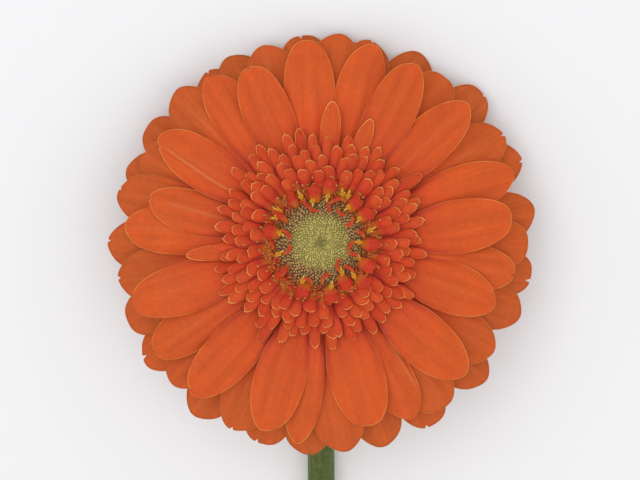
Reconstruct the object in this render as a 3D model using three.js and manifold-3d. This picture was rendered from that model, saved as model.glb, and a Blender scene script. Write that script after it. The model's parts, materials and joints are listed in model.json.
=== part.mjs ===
// A cut gerbera, laid on its back: the stem lies along -Y and the bloom, bent up at the neck, faces +Z,
// tilted a little towards +Y. Its stem and the tips of its rearmost rays rest on the surface at z = 0.
// Units are millimetres, +Z is up, and the origin is the centre of the base of the flower's box.
// Bearings are degrees clockwise round the bloom, seen from in front, from the side away from the stem.
import * as THREE from "three";
import { mergeVertices } from "three/addons/utils/BufferGeometryUtils.js";
import Module from "manifold-3d";

const wasm = await Module();
wasm.setup();

// ---- Driving dimensions ----
const GAP = 0.3; // clearance between parts that touch in the real flower
const BLOOM_TILT = 17; // degrees between the bloom's axis and the vertical
const STEM_RADIUS = 3.8; // below the neck
const NECK_RADIUS = 4; // where the stem meets the cup
const STEM_END_RADIUS = 4.4; // at the cut
const STEM_LIE = 330; // length of stem that lies on the surface
const STEM_SWAY = 9; // how far the lying stem wanders sideways
const NECK_BEND_RADIUS = 14;
const NECK_BEND_END_Y = 6; // where the neck has come down to the surface
const CUT_SLANT = 35; // degrees between the cut and a square cut

const CUP_BASE_Z = -14.9; // heights in the bloom's own frame, whose z = 0 is the foot of the inner florets
const CUP_RIM_Z = -5.4;
const CUP_RIM_RADIUS = 13.4;
const BOSS_RADIUS = 9.6; // the receptacle inside the rows of rays
const BOSS_TOP_Z = -0.6;
const BRACTS_PER_ROW = 21;

const RAY_RING_OUTER = 14.2; // each row of rays grows from a ring round the receptacle
const RAY_RING_HEIGHT = 0.9;
const RAY_ROOT_RADIUS = 12.4;
const RAY_WIDTH = 14; // of each ray in the two rows behind
const RAY_HUMP = 1.3; // how far a ray arches above the line from root to tip
const RAY_LIFT = 0.3; // neighbours in a row lie this much above and below the row
const RAY_CAMBER = 0.45; // how far a ray's edges lie below its middle
const RAY_CURL = 2; // spread of the sideways bend of the tips
const RAY_ROLL = 0.05; // spread of the slope from edge to edge
const RAY_DROOP = 1.5; // power of the way out at which a ray droops
const NOMINAL_REACH = 54;
const ROW_TIP_Z = [-2.4, -5.8, -9.2, -12.5]; // height of tips with that reach, row by row from the front
const REST_BEARING = 36; // fourth-row rays this near the far side droop to the surface
const REST_PRESS = 0.25; // how far a tip is pressed flat there
const ROW_FULLEST = [0.61, 0.64, 0.75, 0.75]; // share of a ray's length at which it is widest, row by row

// The rows of rays from the front, as [bearing, reach from the bloom's axis, width], read off the flower.
// The two rows behind show only their tips, so their rays share one width.
const FIRST_ROW = [
  [28.8, 53.1, 12.9], [47.7, 53, 12.9], [83.5, 50.9, 14.2], [108.5, 48.7, 13.6],
  [133.3, 51.3, 14.2], [165.5, 50.1, 14.8], [196, 51.6, 13.6], [219.2, 52.2, 13.6],
  [251.5, 52.1, 13.6], [283, 46.4, 11.6], [303, 50.5, 12.9], [337.8, 50, 13],
];
const SECOND_ROW = [
  [13.5, 54, 12.5], [69.5, 54.1, 12.8], [100, 52.1, 12.5], [153, 52.3, 12.5],
  [186, 53.2, 9.5], [237.5, 52.7, 13], [275, 51.7, 13.2], [327, 52.7, 13],
  [355.5, 53.8, 13.5],
];
const THIRD_ROW = [
  [5.5, 55.5], [15, 55.1], [36, 55.2], [59, 56.4], [76, 48], [90.5, 55.4], [105, 47], [124, 54.2],
  [142.5, 55.1], [158, 48], [174.5, 55.7], [191, 48], [206, 54.8], [227, 54.3], [243, 48], [259, 54.4],
  [283.5, 55.2], [296, 52.9], [315.5, 55.5], [343, 54.3],
];
const FOURTH_ROW = [
  [10, 54], [27, 57], [47.5, 59.1], [67, 58], [82.8, 57.6], [99.7, 57.2], [109.5, 56.6], [129.7, 57.4],
  [147.7, 57.5], [163, 56.9], [183.5, 56.6], [197, 56.2], [215.7, 57], [236.5, 56.7], [248.5, 55.8],
  [269, 56.6], [291.5, 55.1], [302.7, 55.9], [325.5, 54.7], [333.5, 55.2], [354, 55.6],
];

const BLADE_THICKNESS = 0.7;
const INNER_COUNT = 136; // short ligules of the inner florets
const INNER_ROOT = [[13.2, 2], [14.6, 0.7]]; // radius and height of the nearest and the furthest one's root
const INNER_TIP = [[18.6, 5.4], [29.6, 1.3]]; // and of their tips
const INNER_SCATTER = 1.4; // spread of the reach
const INNER_WIDTH = 3.4;
const CORE_INNER = 12.8; // the ring that the inner florets grow from
const CORE_OUTER = 15.4;
const CORE_TOP_Z = 2.2;
// A few longer ligules stand out over the rays, as [bearing, reach, width].
const LONG_FLORETS = [[5, 37.2, 5], [22.5, 35, 4.6], [264.5, 35.4, 4.2], [212, 30.8, 3.2]];

const OPEN_BEARINGS = [8, 37, 56, 90, 113, 149, 171, 204, 253, 285, 350]; // open florets round the disc
const DISC_RADIUS = 12.4;
const DISC_TOP_Z = 3.5;
const DISC_FALL = 1.9; // how much lower its edge is
const DIMPLE_DEPTH = 0.9;
const DIMPLE_RADIUS = 1.6;
const DISC_RINGS = 12;
const DISC_BUDS_ROUND = 27; // raised buds in each ring of the disc
const BUD_RELIEF = 0.45;
const GOLDEN_ANGLE = 137.508; // degrees from one floret of a head to the next

const radians = THREE.MathUtils.degToRad;
const mix = THREE.MathUtils.lerp;

// A seeded draw from -0.5 to 0.5 that is the same on every run.
function draw(index, seed) {
  const wave = Math.sin(index * 12.9898 + seed * 78.233) * 43758.5453;
  return wave - Math.floor(wave) - 0.5;
}

// ---- Solids ----
function solidOf(geometry) {
  const bare = new THREE.BufferGeometry();
  bare.setAttribute("position", geometry.getAttribute("position"));
  bare.setIndex(geometry.index);
  const merged = mergeVertices(bare, 1e-4);
  return new wasm.Manifold(
    new wasm.Mesh({
      numProp: 3,
      vertProperties: merged.getAttribute("position").array,
      triVerts: new Uint32Array(merged.index.array),
    }),
  );
}

function geometryOf(solid) {
  const mesh = solid.getMesh();
  const geometry = new THREE.BufferGeometry();
  geometry.setAttribute("position", new THREE.BufferAttribute(mesh.vertProperties, 3));
  geometry.setIndex(new THREE.BufferAttribute(mesh.triVerts, 1));
  geometry.computeVertexNormals();
  return geometry;
}

const fuse = (solids) => solids.reduce((whole, piece) => whole.add(piece));

function turned(profile, segments) {
  return new THREE.LatheGeometry(profile.map(([radius, z]) => new THREE.Vector2(radius, z)), segments)
    .rotateX(Math.PI / 2);
}

// ---- Blades: every ray, ligule, lobe, bract and anther is one ----
// Half width of a blade along its length, as a share of its widest: a narrow claw, then a blunt round tip.
function outline(along, fullest, claw) {
  if (along < fullest) return claw + (1 - claw) * Math.sin(((along / fullest) ** 1.6 * Math.PI) / 2);
  return Math.sqrt(1 - ((along - fullest) / (1 - fullest)) ** 2.4);
}

// A closed blade that grows outwards along its bearing, from a sphere drawn out along the blade's midline.
// root and tip are each a distance from the bloom's axis and a height, bend is the power at which the
// midline leaves the root's height, and crowd is how much closer the rings of points stand at the tip.
function blade({ bearing, root, tip, hump = 0, width, thickness = BLADE_THICKNESS, camber = 0, roll = 0,
  curl = 0, fullest = 0.68, claw = 0.3, sides = 6, stations = 6, bend = 1, crowd = 1.3 }) {
  const geometry = new THREE.SphereGeometry(1, sides, stations);
  const place = geometry.getAttribute("position");
  const outward = new THREE.Vector3(Math.sin(radians(bearing)), Math.cos(radians(bearing)), 0);
  const sideways = new THREE.Vector3(outward.y, -outward.x, 0);
  const up = new THREE.Vector3(0, 0, 1);
  const midline = (along) => [
    mix(root[0], tip[0], along),
    mix(root[1], tip[1], along ** bend) + hump * 4 * along * (1 - along),
  ];
  for (let i = 0; i < place.count; i++) {
    const along = 1 - ((1 - place.getY(i)) / 2) ** crowd;
    const ring = Math.hypot(place.getX(i), place.getZ(i));
    const closed = ring < 1e-6;
    const across = closed ? 0 : (place.getX(i) / ring) * outline(along, fullest, claw) * (width / 2);
    const through = closed ? 0 : (place.getZ(i) / ring) * (thickness / 2);
    const share = across / (width / 2);
    const [radius, height] = midline(along);
    const [before, after] = [midline(Math.max(along - 0.01, 0)), midline(Math.min(along + 0.01, 1))];
    const slope = Math.atan2(after[1] - before[1], after[0] - before[0]);
    const point = outward.clone().multiplyScalar(radius - through * Math.sin(slope))
      .addScaledVector(sideways, across + curl * along ** 2)
      .addScaledVector(up, height + through * Math.cos(slope) + across * roll - camber * share ** 2);
    place.setXYZ(i, point.x, point.y, point.z);
  }
  return solidOf(geometry);
}

// ---- Where the bloom is carried ----
const STEM_SIDES = 12;
const tilt = radians(BLOOM_TILT);
const stemHeight = STEM_RADIUS * Math.cos(Math.PI / STEM_SIDES); // the lying stem's middle
const neckLength = GAP - CUP_BASE_Z; // from the stem's upper end to the bloom's own zero
const bloomHeight = stemHeight + NECK_BEND_RADIUS * (1 - Math.sin(tilt)) + neckLength * Math.cos(tilt);
const bloomY = NECK_BEND_END_Y + NECK_BEND_RADIUS * Math.cos(tilt) + neckLength * Math.sin(tilt);

// ---- Rays ----
// The height in the bloom's frame at which a ray's tip is pressed on the surface.
function restingTipZ(bearing, reach, curl) {
  const tipY = reach * Math.cos(radians(bearing)) - curl * Math.sin(radians(bearing));
  return -(bloomHeight + REST_PRESS - tipY * Math.sin(tilt)) / Math.cos(tilt);
}

// One row of rays with the ring that they grow from.
function rayRow(row, rays, stations) {
  const ringTop = BOSS_TOP_Z - row * (RAY_RING_HEIGHT + GAP);
  const ringBottom = ringTop - RAY_RING_HEIGHT;
  const inner = BOSS_RADIUS + GAP;
  const ring = turned([[inner, ringBottom], [RAY_RING_OUTER, ringBottom], [RAY_RING_OUTER, ringTop],
    [inner, ringTop], [inner, ringBottom]], 36);
  const rootZ = (ringTop + ringBottom) / 2;
  const blades = rays.map(([bearing, reach, width = RAY_WIDTH], i) => {
    const lift = i % 2 ? -RAY_LIFT : RAY_LIFT;
    const length = (reach - RAY_ROOT_RADIUS) / (NOMINAL_REACH - RAY_ROOT_RADIUS);
    const nearest = Math.abs(((bearing + 180) % 360) - 180);
    const rests = row === 3 && nearest < REST_BEARING;
    const freeTipZ = mix(rootZ, ROW_TIP_Z[row], length ** RAY_DROOP) + lift;
    const curl = RAY_CURL * draw(i, row + 5);
    const tipZ = rests ? restingTipZ(bearing, reach, curl) : freeTipZ;
    return blade({ bearing, root: [RAY_ROOT_RADIUS, rootZ], tip: [reach, tipZ], hump: RAY_HUMP + lift,
      width, camber: RAY_CAMBER, roll: RAY_ROLL * draw(i, row), curl, bend: RAY_DROOP,
      fullest: ROW_FULLEST[row], stations });
  });
  return fuse([solidOf(ring), ...blades]);
}

// ---- Inner florets ----
// Ligules at the golden angle: the first stand steeply by the disc, and the last lie out over the rays.
function innerFlorets() {
  const core = turned([[CORE_INNER, 0], [CORE_OUTER, 0.3], [CORE_OUTER, 1.2], [CORE_INNER + 0.8, CORE_TOP_Z],
    [CORE_INNER, CORE_TOP_Z], [CORE_INNER, 0]], 36);
  const [[nearRoot, nearRootZ], [farRoot, farRootZ]] = INNER_ROOT;
  const [[nearTip, nearTipZ], [farTip, farTipZ]] = INNER_TIP;
  const ligules = Array.from({ length: INNER_COUNT }, (_, i) => {
    const out = i / (INNER_COUNT - 1);
    const reach = Math.sqrt(mix(nearTip ** 2, farTip ** 2, out)) + INNER_SCATTER * draw(i, 21);
    return blade({ bearing: i * GOLDEN_ANGLE + 3 * draw(i, 24),
      root: [mix(nearRoot, farRoot, out), mix(nearRootZ, farRootZ, out)],
      tip: [reach, mix(nearTipZ, farTipZ, out)], hump: mix(0.9, 0.7, out), width: INNER_WIDTH,
      fullest: 0.72, claw: 0.45, sides: 4, stations: 3, crowd: 2 });
  });
  const longOnes = LONG_FLORETS.map(([bearing, reach, width]) => blade({ bearing, root: [13.9, 0.8],
    tip: [reach, 1.1], hump: 0.4, width, claw: 0.5, sides: 4, stations: 5 }));
  return fuse([solidOf(core), ...ligules, ...longOnes, ...OPEN_BEARINGS.flatMap(openLobes)]);
}

// An open floret of the disc's edge: a broad lip turned out and a thin one that curls in over the disc.
function openLobes(bearing, i) {
  const lip = blade({ bearing, root: [13.3, 1.4], tip: [15.2, 5.2], hump: 0.2, width: 4.2, thickness: 0.8,
    fullest: 0.55, claw: 0.5, sides: 4, stations: 4, bend: 0.8 });
  const tongue = blade({ bearing: bearing + 174, root: [-13.4, 2.1], tip: [-7.8, 5.1], hump: 2,
    width: 1.5, thickness: 0.8, curl: 2 + 1.6 * draw(i, 31), fullest: 0.5, claw: 0.7, sides: 4,
    stations: 4, bend: 0.7 });
  return [lip, tongue];
}

// ---- Disc ----
// A low dome with a dimple, raised all over into buds that stand half a step round from ring to ring.
function disc() {
  const dimple = (radius) => DIMPLE_DEPTH * Math.exp(-((radius / DIMPLE_RADIUS) ** 2));
  const height = (radius) => DISC_TOP_Z - DISC_FALL * (radius / DISC_RADIUS) ** 4 - dimple(radius);
  const rings = Array.from({ length: DISC_RINGS }, (_, j) => DISC_RADIUS * (1 - j / DISC_RINGS));
  const base = [[0, -GAP], [DISC_RADIUS, -GAP]];
  const profile = [...base, ...rings.map((radius) => [radius, height(radius)]), [0, height(0)]];
  const geometry = turned(profile, 2 * DISC_BUDS_ROUND);
  const place = geometry.getAttribute("position");
  for (let i = 0; i < place.count; i++) {
    const ring = i % profile.length;
    const column = Math.floor(i / profile.length);
    const isTop = ring > base.length && ring < profile.length - 2;
    if (isTop) place.setZ(i, place.getZ(i) + (((column + ring) % 2 ? 1 : -1) * BUD_RELIEF) / 2);
  }
  const anthers = OPEN_BEARINGS.map((bearing) => blade({ bearing: bearing + 184, root: [-11.2, 1.4],
    tip: [-9.6, 5.6], width: 1.1, thickness: 1.1, fullest: 0.5, claw: 0.8, sides: 4, stations: 3 }));
  return fuse([solidOf(geometry), ...anthers]);
}

// ---- Involucre: the green cup of bracts under the bloom ----
function involucre() {
  const cup = turned([[0, CUP_BASE_Z], [4.1, CUP_BASE_Z], [5.6, -13.4], [8.4, -11.4], [11.3, -8.8],
    [13, -6.8], [CUP_RIM_RADIUS, CUP_RIM_Z], [BOSS_RADIUS, CUP_RIM_Z], [BOSS_RADIUS, BOSS_TOP_Z],
    [0, BOSS_TOP_Z]], 24);
  const rows = [
    { root: [6.6, -10.6], tip: [17, -6.9], hump: -0.9 },
    { root: [5.4, -12], tip: [14.6, -8.5], hump: -1.2 },
    { root: [4.2, -13.4], tip: [11.6, -10.9], hump: -1 },
  ];
  const bracts = rows.flatMap((line, row) => Array.from({ length: BRACTS_PER_ROW }, (_, i) =>
    blade({ ...line, bearing: ((i + row / 2) * 360) / BRACTS_PER_ROW, width: 3.4 - 0.6 * row, thickness: 0.9,
      fullest: 0.5, claw: 0.6, sides: 4, stations: 3 })));
  return fuse([solidOf(cup), ...bracts]);
}

// ---- Stem ----
const BEND_RINGS = 8;
const LIE_RINGS = 16;

// The lying stem's sideways place, a share of the way from the neck to the cut.
const sway = (share) => (STEM_SWAY * (1 - Math.cos(1.3 * Math.PI * share ** 1.5))) / 2;

// The stem's middle, its pitch above the surface and its heading at one of its rings, from the neck down.
function stemRing(ring) {
  if (ring <= BEND_RINGS) {
    const pitch = (Math.PI / 2 - tilt) * (1 - ring / BEND_RINGS);
    const y = NECK_BEND_END_Y + NECK_BEND_RADIUS * Math.sin(pitch);
    const z = stemHeight + NECK_BEND_RADIUS * (1 - Math.cos(pitch));
    const radius = mix(NECK_RADIUS, STEM_RADIUS, ring / BEND_RINGS);
    return { middle: new THREE.Vector3(0, y, z), pitch, heading: 0, radius };
  }
  const share = (ring - BEND_RINGS) / LIE_RINGS;
  const radius = mix(STEM_RADIUS, STEM_END_RADIUS, share);
  const slope = (sway(share + 0.001) - sway(share - 0.001)) / (0.002 * STEM_LIE);
  const middle = new THREE.Vector3(sway(share), NECK_BEND_END_Y - share * STEM_LIE,
    radius * Math.cos(Math.PI / STEM_SIDES));
  return { middle, pitch: 0, heading: Math.atan(slope), radius };
}

function stem() {
  const rings = BEND_RINGS + LIE_RINGS;
  const geometry = new THREE.CylinderGeometry(1, 1, 1, STEM_SIDES, rings).rotateY(Math.PI / STEM_SIDES);
  const place = geometry.getAttribute("position");
  for (let i = 0; i < place.count; i++) {
    const ring = Math.round((0.5 - place.getY(i)) * rings);
    const { middle, pitch, heading, radius } = stemRing(ring);
    const side = new THREE.Vector3(Math.cos(heading), Math.sin(heading), 0);
    const over = new THREE.Vector3(0, -Math.sin(pitch), Math.cos(pitch));
    const point = middle.clone().addScaledVector(side, place.getX(i) * radius)
      .addScaledVector(over, place.getZ(i) * radius);
    if (ring === rings) point.y += place.getZ(i) * radius * Math.tan(radians(CUT_SLANT));
    place.setXYZ(i, point.x, point.y, point.z);
  }
  return solidOf(geometry);
}

// ---- Assembly ----
const skin = (color, roughness) => new THREE.MeshStandardMaterial({ color, roughness, metalness: 0 });
const rayOrange = skin("#cf5a2e", 0.55);
const floretRed = skin("#c2452a", 0.55);
const discBrown = skin("#8a7242", 0.8);
const leafGreen = skin("#5d6f36", 0.65);
const stemGreen = skin("#566132", 0.6);

const named = (name, solid, material) => {
  const mesh = new THREE.Mesh(geometryOf(solid), material);
  mesh.name = name;
  return mesh;
};

// What the surface under the flower keeps clear, in the bloom's frame: rays that reach it lie flat on it.
function surfaceBlock() {
  const block = new THREE.BoxGeometry(200, 200, 40).translate(0, 0, -20 - bloomHeight);
  return solidOf(block.rotateX(tilt));
}

const bloom = new THREE.Group();
bloom.add(
  named("involucre", involucre(), leafGreen),
  named("rays_first_row", rayRow(0, FIRST_ROW, 6), rayOrange),
  named("rays_second_row", rayRow(1, SECOND_ROW, 6), rayOrange),
  named("rays_third_row", rayRow(2, THIRD_ROW, 5), rayOrange),
  named("rays_fourth_row", rayRow(3, FOURTH_ROW, 5).subtract(surfaceBlock()), rayOrange),
  named("inner_florets", innerFlorets(), floretRed),
  named("disc_florets", disc(), discBrown),
);
bloom.rotation.x = -tilt;
bloom.position.set(0, bloomY, bloomHeight);

const gerbera = new THREE.Group();
gerbera.add(named("stem", stem(), stemGreen), bloom);
const box = new THREE.Box3().setFromObject(gerbera, true);
gerbera.position.set(-(box.min.x + box.max.x) / 2, -(box.min.y + box.max.y) / 2, -box.min.z);

export default gerbera;
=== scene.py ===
"""A cut gerbera that lies on its back: the looks of every petal, bud, bract and hair round its CAD part.

Bearings are degrees clockwise round the bloom, seen from in front, from the side away from the stem.
Blades are worked out in millimetres in the bloom's own frame, whose z = 0 is the foot of the inner florets.
"""

import json
import math

import bpy
import numpy as np
from bpy.props import FloatProperty, FloatVectorProperty, IntProperty, PointerProperty
from mathutils import Matrix, Vector

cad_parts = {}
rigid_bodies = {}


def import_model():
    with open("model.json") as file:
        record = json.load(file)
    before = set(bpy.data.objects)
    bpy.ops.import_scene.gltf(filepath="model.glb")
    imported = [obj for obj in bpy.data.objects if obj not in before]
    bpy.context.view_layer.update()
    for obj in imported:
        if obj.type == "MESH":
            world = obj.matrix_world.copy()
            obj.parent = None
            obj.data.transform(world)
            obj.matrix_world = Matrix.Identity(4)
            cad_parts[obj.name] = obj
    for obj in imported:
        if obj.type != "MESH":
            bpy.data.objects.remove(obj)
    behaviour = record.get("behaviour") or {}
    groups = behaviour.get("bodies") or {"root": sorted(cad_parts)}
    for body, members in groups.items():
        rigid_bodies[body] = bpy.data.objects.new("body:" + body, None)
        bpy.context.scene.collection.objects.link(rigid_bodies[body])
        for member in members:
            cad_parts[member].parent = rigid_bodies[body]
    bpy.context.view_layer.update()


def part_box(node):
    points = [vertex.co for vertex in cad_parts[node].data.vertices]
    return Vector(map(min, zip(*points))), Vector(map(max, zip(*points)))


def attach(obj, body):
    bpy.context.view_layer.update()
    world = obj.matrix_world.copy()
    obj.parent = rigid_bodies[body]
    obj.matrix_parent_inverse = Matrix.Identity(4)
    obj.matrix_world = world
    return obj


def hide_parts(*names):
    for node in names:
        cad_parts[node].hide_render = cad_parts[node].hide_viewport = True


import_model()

bl_info = {
    "name": "Cut gerbera",
    "version": (1, 0, 0),
    "blender": (4, 5, 0),
    "location": "3D View > Sidebar > Gerbera",
    "description": "Builds a cut gerbera on its CAD frame, with its floor, lights and camera",
    "category": "Object",
}

MM = 0.001
BODY = "root"

# ---- The flower's own dimensions, as in its CAD part, in millimetres and degrees ----
TILT = math.radians(17)
STEM_SIDES = 12  # of the CAD stem, which rests on one of its flats
STEM_RADIUS = 3.8
NECK_RADIUS = 4.0
STEM_END_RADIUS = 4.4
STEM_LIE = 330.0
STEM_SWAY = 9.0
NECK_BEND_RADIUS = 14.0
NECK_BEND_END_Y = 6.0
CUT_SLANT = math.radians(35)
GAP = 0.3
CUP_BASE_Z = -14.9
BOSS_TOP_Z = -0.6
RAY_RING_INNER = 9.9
RAY_RING_OUTER = 14.2
RAY_RING_HEIGHT = 0.9
RAY_ROOT_RADIUS = 12.4
RAY_WIDTH = 14.0
RAY_HUMP = 1.3
RAY_LIFT = 0.3
RAY_CAMBER = 0.45
RAY_CURL = 2.0
RAY_ROLL = 0.05
RAY_DROOP = 1.5
NOMINAL_REACH = 54.0
ROW_TIP_Z = (-2.4, -5.8, -9.2, -12.5)
REST_BEARING = 36
ROW_FULLEST = (0.61, 0.64, 0.75, 0.75)
GOLDEN_ANGLE = math.radians(137.508)
DISC_RADIUS = 12.4
DISC_TOP_Z = 3.5
DISC_FALL = 1.9
DIMPLE_DEPTH = 0.9
DIMPLE_RADIUS = 1.6

# The rows of rays from the front: bearing, reach from the bloom's axis, width.
FIRST_ROW = (
    (28.8, 53.1, 12.9), (47.7, 53, 12.9), (83.5, 50.9, 14.2), (108.5, 48.7, 13.6),
    (133.3, 51.3, 14.2), (165.5, 50.1, 14.8), (196, 51.6, 13.6), (219.2, 52.2, 13.6),
    (251.5, 52.1, 13.6), (283, 46.4, 11.6), (303, 50.5, 12.9), (337.8, 50, 13),
)
SECOND_ROW = (
    (13.5, 54, 12.5), (69.5, 54.1, 12.8), (100, 52.1, 12.5), (153, 52.3, 12.5),
    (186, 53.2, 9.5), (237.5, 52.7, 13), (275, 51.7, 13.2), (327, 52.7, 13),
    (355.5, 53.8, 13.5),
)
THIRD_ROW = (
    (5.5, 55.5), (15, 55.1), (36, 55.2), (59, 56.4), (76, 48), (90.5, 55.4), (105, 47), (124, 54.2),
    (142.5, 55.1), (158, 48), (174.5, 55.7), (191, 48), (206, 54.8), (227, 54.3), (243, 48), (259, 54.4),
    (283.5, 55.2), (296, 52.9), (315.5, 55.5), (343, 54.3),
)
FOURTH_ROW = (
    (10, 54), (27, 57), (47.5, 59.1), (67, 58), (82.8, 57.6), (99.7, 57.2), (109.5, 56.6), (129.7, 57.4),
    (147.7, 57.5), (163, 56.9), (183.5, 56.6), (197, 56.2), (215.7, 57), (236.5, 56.7), (248.5, 55.8),
    (269, 56.6), (291.5, 55.1), (302.7, 55.9), (325.5, 54.7), (333.5, 55.2), (354, 55.6),
)
# The nicks in the rays' tips, row by row: each ray's bearing, and its nick's own bearing and depth.
NICKS = (
    {219.2: (222, 0.8), 251.5: (254, 0.8), 283: (284.5, 0.7), 303: (301, 0.8), 337.8: (337.5, 0.8)},
    {100: (99.5, 0.9), 237.5: (236.5, 0.9), 327: (326.5, 0.9)},
    {15: (14.5, 0.5), 59: (59.5, 0.9), 206: (205.5, 0.8), 259: (260, 0.8), 283.5: (285, 0.5),
     296: (297.5, 0.8)},
    {47.5: (48, 0.5), 67: (68, 0.9), 99.7: (100.3, 1.4), 147.7: (150, 0.9), 183.5: (183, 0.9),
     197: (197.8, 0.9), 236.5: (237, 1.3), 269: (270.5, 0.9), 325.5: (326.5, 0.8), 354: (354.5, 0.9)},
)

# Pale ridges along rays, a little raised and painted paler as a painted highlight, row by row and by
# bearing: share of the half width, half width, how much they show, and from where to where along the ray.
RIDGES = (
    {303: (-0.32, 0.28, 0.85, 0.2, 1.2), 83.5: (0.3, 0.4, 0.15, 0.2, 0.9), 283: (0.1, 0.35, 0.3, 0.2, 0.9),
     251.5: (0.35, 0.5, 0.12, 0.2, 0.9), 133.3: (0.05, 0.2, 0.4, 0.4, 0.9)},
    {153: (-0.76, 0.22, 1.3, 0.4, 0.86), 237.5: (0.2, 0.4, 0.15, 0.3, 0.9)},
    {343: (-0.03, 0.2, 1.1, 0.76, 1.2)},
    {},
)

# Longer ligules that stand out over the rays: bearing, reach, width.
LONG_FLORETS = (
    (5, 37.2, 5.4), (22.5, 35, 4.6), (264.5, 35.4, 4.2), (212, 30.8, 3.4), (56, 32, 3.4),
    (327, 30.5, 3.3), (349, 30.5, 3.2), (243, 29.8, 3.2),
)
# The open florets' broad lips and thin curled tongues, their anthers and the styles between the ligules.
# Lips are bearing, radius of the middle, width. Tongues are bearing, radius of the middle, turn from inward.
LIPS = (
    (353, 12.8, 3.8), (7, 14.6, 4), (40, 13.3, 3.6), (59, 13.7, 3.8), (91, 12.9, 3.5), (115, 13.4, 3.8),
    (133.5, 15.2, 4.3), (148, 12.1, 3.6), (170, 13.9, 4), (199, 13.1, 3.8), (233, 12.7, 2.2),
    (282, 12.9, 3.6), (302, 12.4, 1.9), (327, 13.4, 2.6),
)
TONGUES = (
    (339, 10.5, 10), (347, 8.6, -20), (13, 9.2, 8), (24, 12.2, 85), (36, 9.3, -60), (57, 9.3, -35),
    (76, 10.8, 70), (95, 8, -30), (110, 9.3, 25), (132, 10.2, 12), (143, 7.6, 10), (173, 9.2, 25),
    (199, 10.3, -60), (231, 12.2, 15), (257, 8.6, -25), (285, 9.2, 15),
)
ANTHERS = (
    (350, 10.9, 10), (9.5, 12, 5), (27, 14, 150), (40, 11.6, 10), (57, 11.9, -20), (78, 13.6, 160),
    (90, 9.9, 10), (113, 10.3, 20), (136, 12, 10), (147, 9.3, 15), (169, 11.5, 20), (204, 10.8, -10),
    (253, 11.2, -20), (284, 10.8, 15), (303, 13.4, 140), (309, 14.1, 170), (337, 13.3, 175), (31, 14.3, 170),
)
STYLES = (
    (197, 15), (210, 16.4), (220, 15.2), (230, 17), (234, 15), (244, 15.8), (250, 17.4), (259, 15.2),
    (268, 19.9), (272, 16.4), (283, 16), (292, 15), (307, 15.4), (315, 16), (324, 15.2), (337, 16.8),
    (345, 15.6), (352, 17), (10, 17.4), (17, 15.4), (24, 18.2), (42, 16.2), (57, 18), (71, 16.6),
    (106, 17.4), (164, 16),
)
HOOKS = 20  # curled inner lobes that stand between the ligules


def linear(code):
    """A colour written as sRGB hex, as the linear red, green and blue that Blender works in."""
    parts = [int(code[i:i + 2], 16) / 255 for i in (1, 3, 5)]
    return tuple(c / 12.92 if c <= 0.04045 else ((c + 0.055) / 1.055) ** 2.4 for c in parts)


def smooth(low, high, value):
    """A soft step from 0 at low to 1 at high."""
    share = np.clip((value - low) / (high - low), 0, 1)
    return share * share * (3 - 2 * share)


def draw(index, seed):
    """The CAD part's seeded draw, from -0.5 to 0.5."""
    wave = math.sin(index * 12.9898 + seed * 78.233) * 43758.5453
    return wave - math.floor(wave) - 0.5


# ---- Where the bloom and the stem are ----
STEM_HEIGHT = STEM_RADIUS * math.cos(math.pi / STEM_SIDES)
NECK_LENGTH = GAP - CUP_BASE_Z
BLOOM_HEIGHT = STEM_HEIGHT + NECK_BEND_RADIUS * (1 - math.sin(TILT)) + NECK_LENGTH * math.cos(TILT)
BLOOM_Y = NECK_BEND_END_Y + NECK_BEND_RADIUS * math.cos(TILT) + NECK_LENGTH * math.sin(TILT)


def stem_shift():
    """How far the CAD part was moved to put its box on the origin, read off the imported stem's neck."""
    low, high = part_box("stem")
    flat = NECK_RADIUS * math.cos(math.pi / STEM_SIDES)
    neck_top = NECK_BEND_END_Y + (NECK_BEND_RADIUS + flat) * math.cos(TILT)
    return Vector((low.x / MM + flat, high.y / MM - neck_top, 0))


SHIFT = stem_shift()
BLOOM = Matrix.Translation((SHIFT + Vector((0, BLOOM_Y, BLOOM_HEIGHT))) * MM) @ Matrix.Rotation(-TILT, 4, "X")
STEM = Matrix.Translation(SHIFT * MM)


# ---- Meshes from arrays of points and faces, with named facts about each point ----
def merged(parts):
    """Several parts as one. A part is points in millimetres, faces, and facts by name."""
    starts = np.cumsum([0] + [len(points) for points, _, _ in parts])
    points = np.concatenate([part[0] for part in parts])
    faces = [[i + start for i in face] for part, start in zip(parts, starts) for face in part[1]]
    facts = {key: np.concatenate([part[2][key] for part in parts]) for key in parts[0][2]}
    return points, faces, facts


def new_mesh(name, part, *finishes):
    """A smooth mesh in metres from a part, with its materials."""
    points, faces, facts = part
    mesh = bpy.data.meshes.new(name)
    mesh.from_pydata((points * MM).tolist(), [], faces)
    for key, values in facts.items():
        is_vector = values.ndim == 2
        layer = mesh.attributes.new(key, "FLOAT_VECTOR" if is_vector else "FLOAT", "POINT")
        layer.data.foreach_set("vector" if is_vector else "value", values.astype(np.float32).ravel())
    for finish in finishes:
        mesh.materials.append(finish)
    mesh.shade_smooth()
    mesh.update()
    return mesh


def new_piece(name, mesh, nodes=(), place=None):
    """A finished object of the flower, at the origin, that rides with it and stands for its CAD nodes."""
    if place is not None:
        mesh.transform(place)
    piece = bpy.data.objects.new(name, mesh)
    bpy.context.scene.collection.objects.link(piece)
    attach(piece, BODY)
    if nodes:
        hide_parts(*nodes)
    return piece


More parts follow.
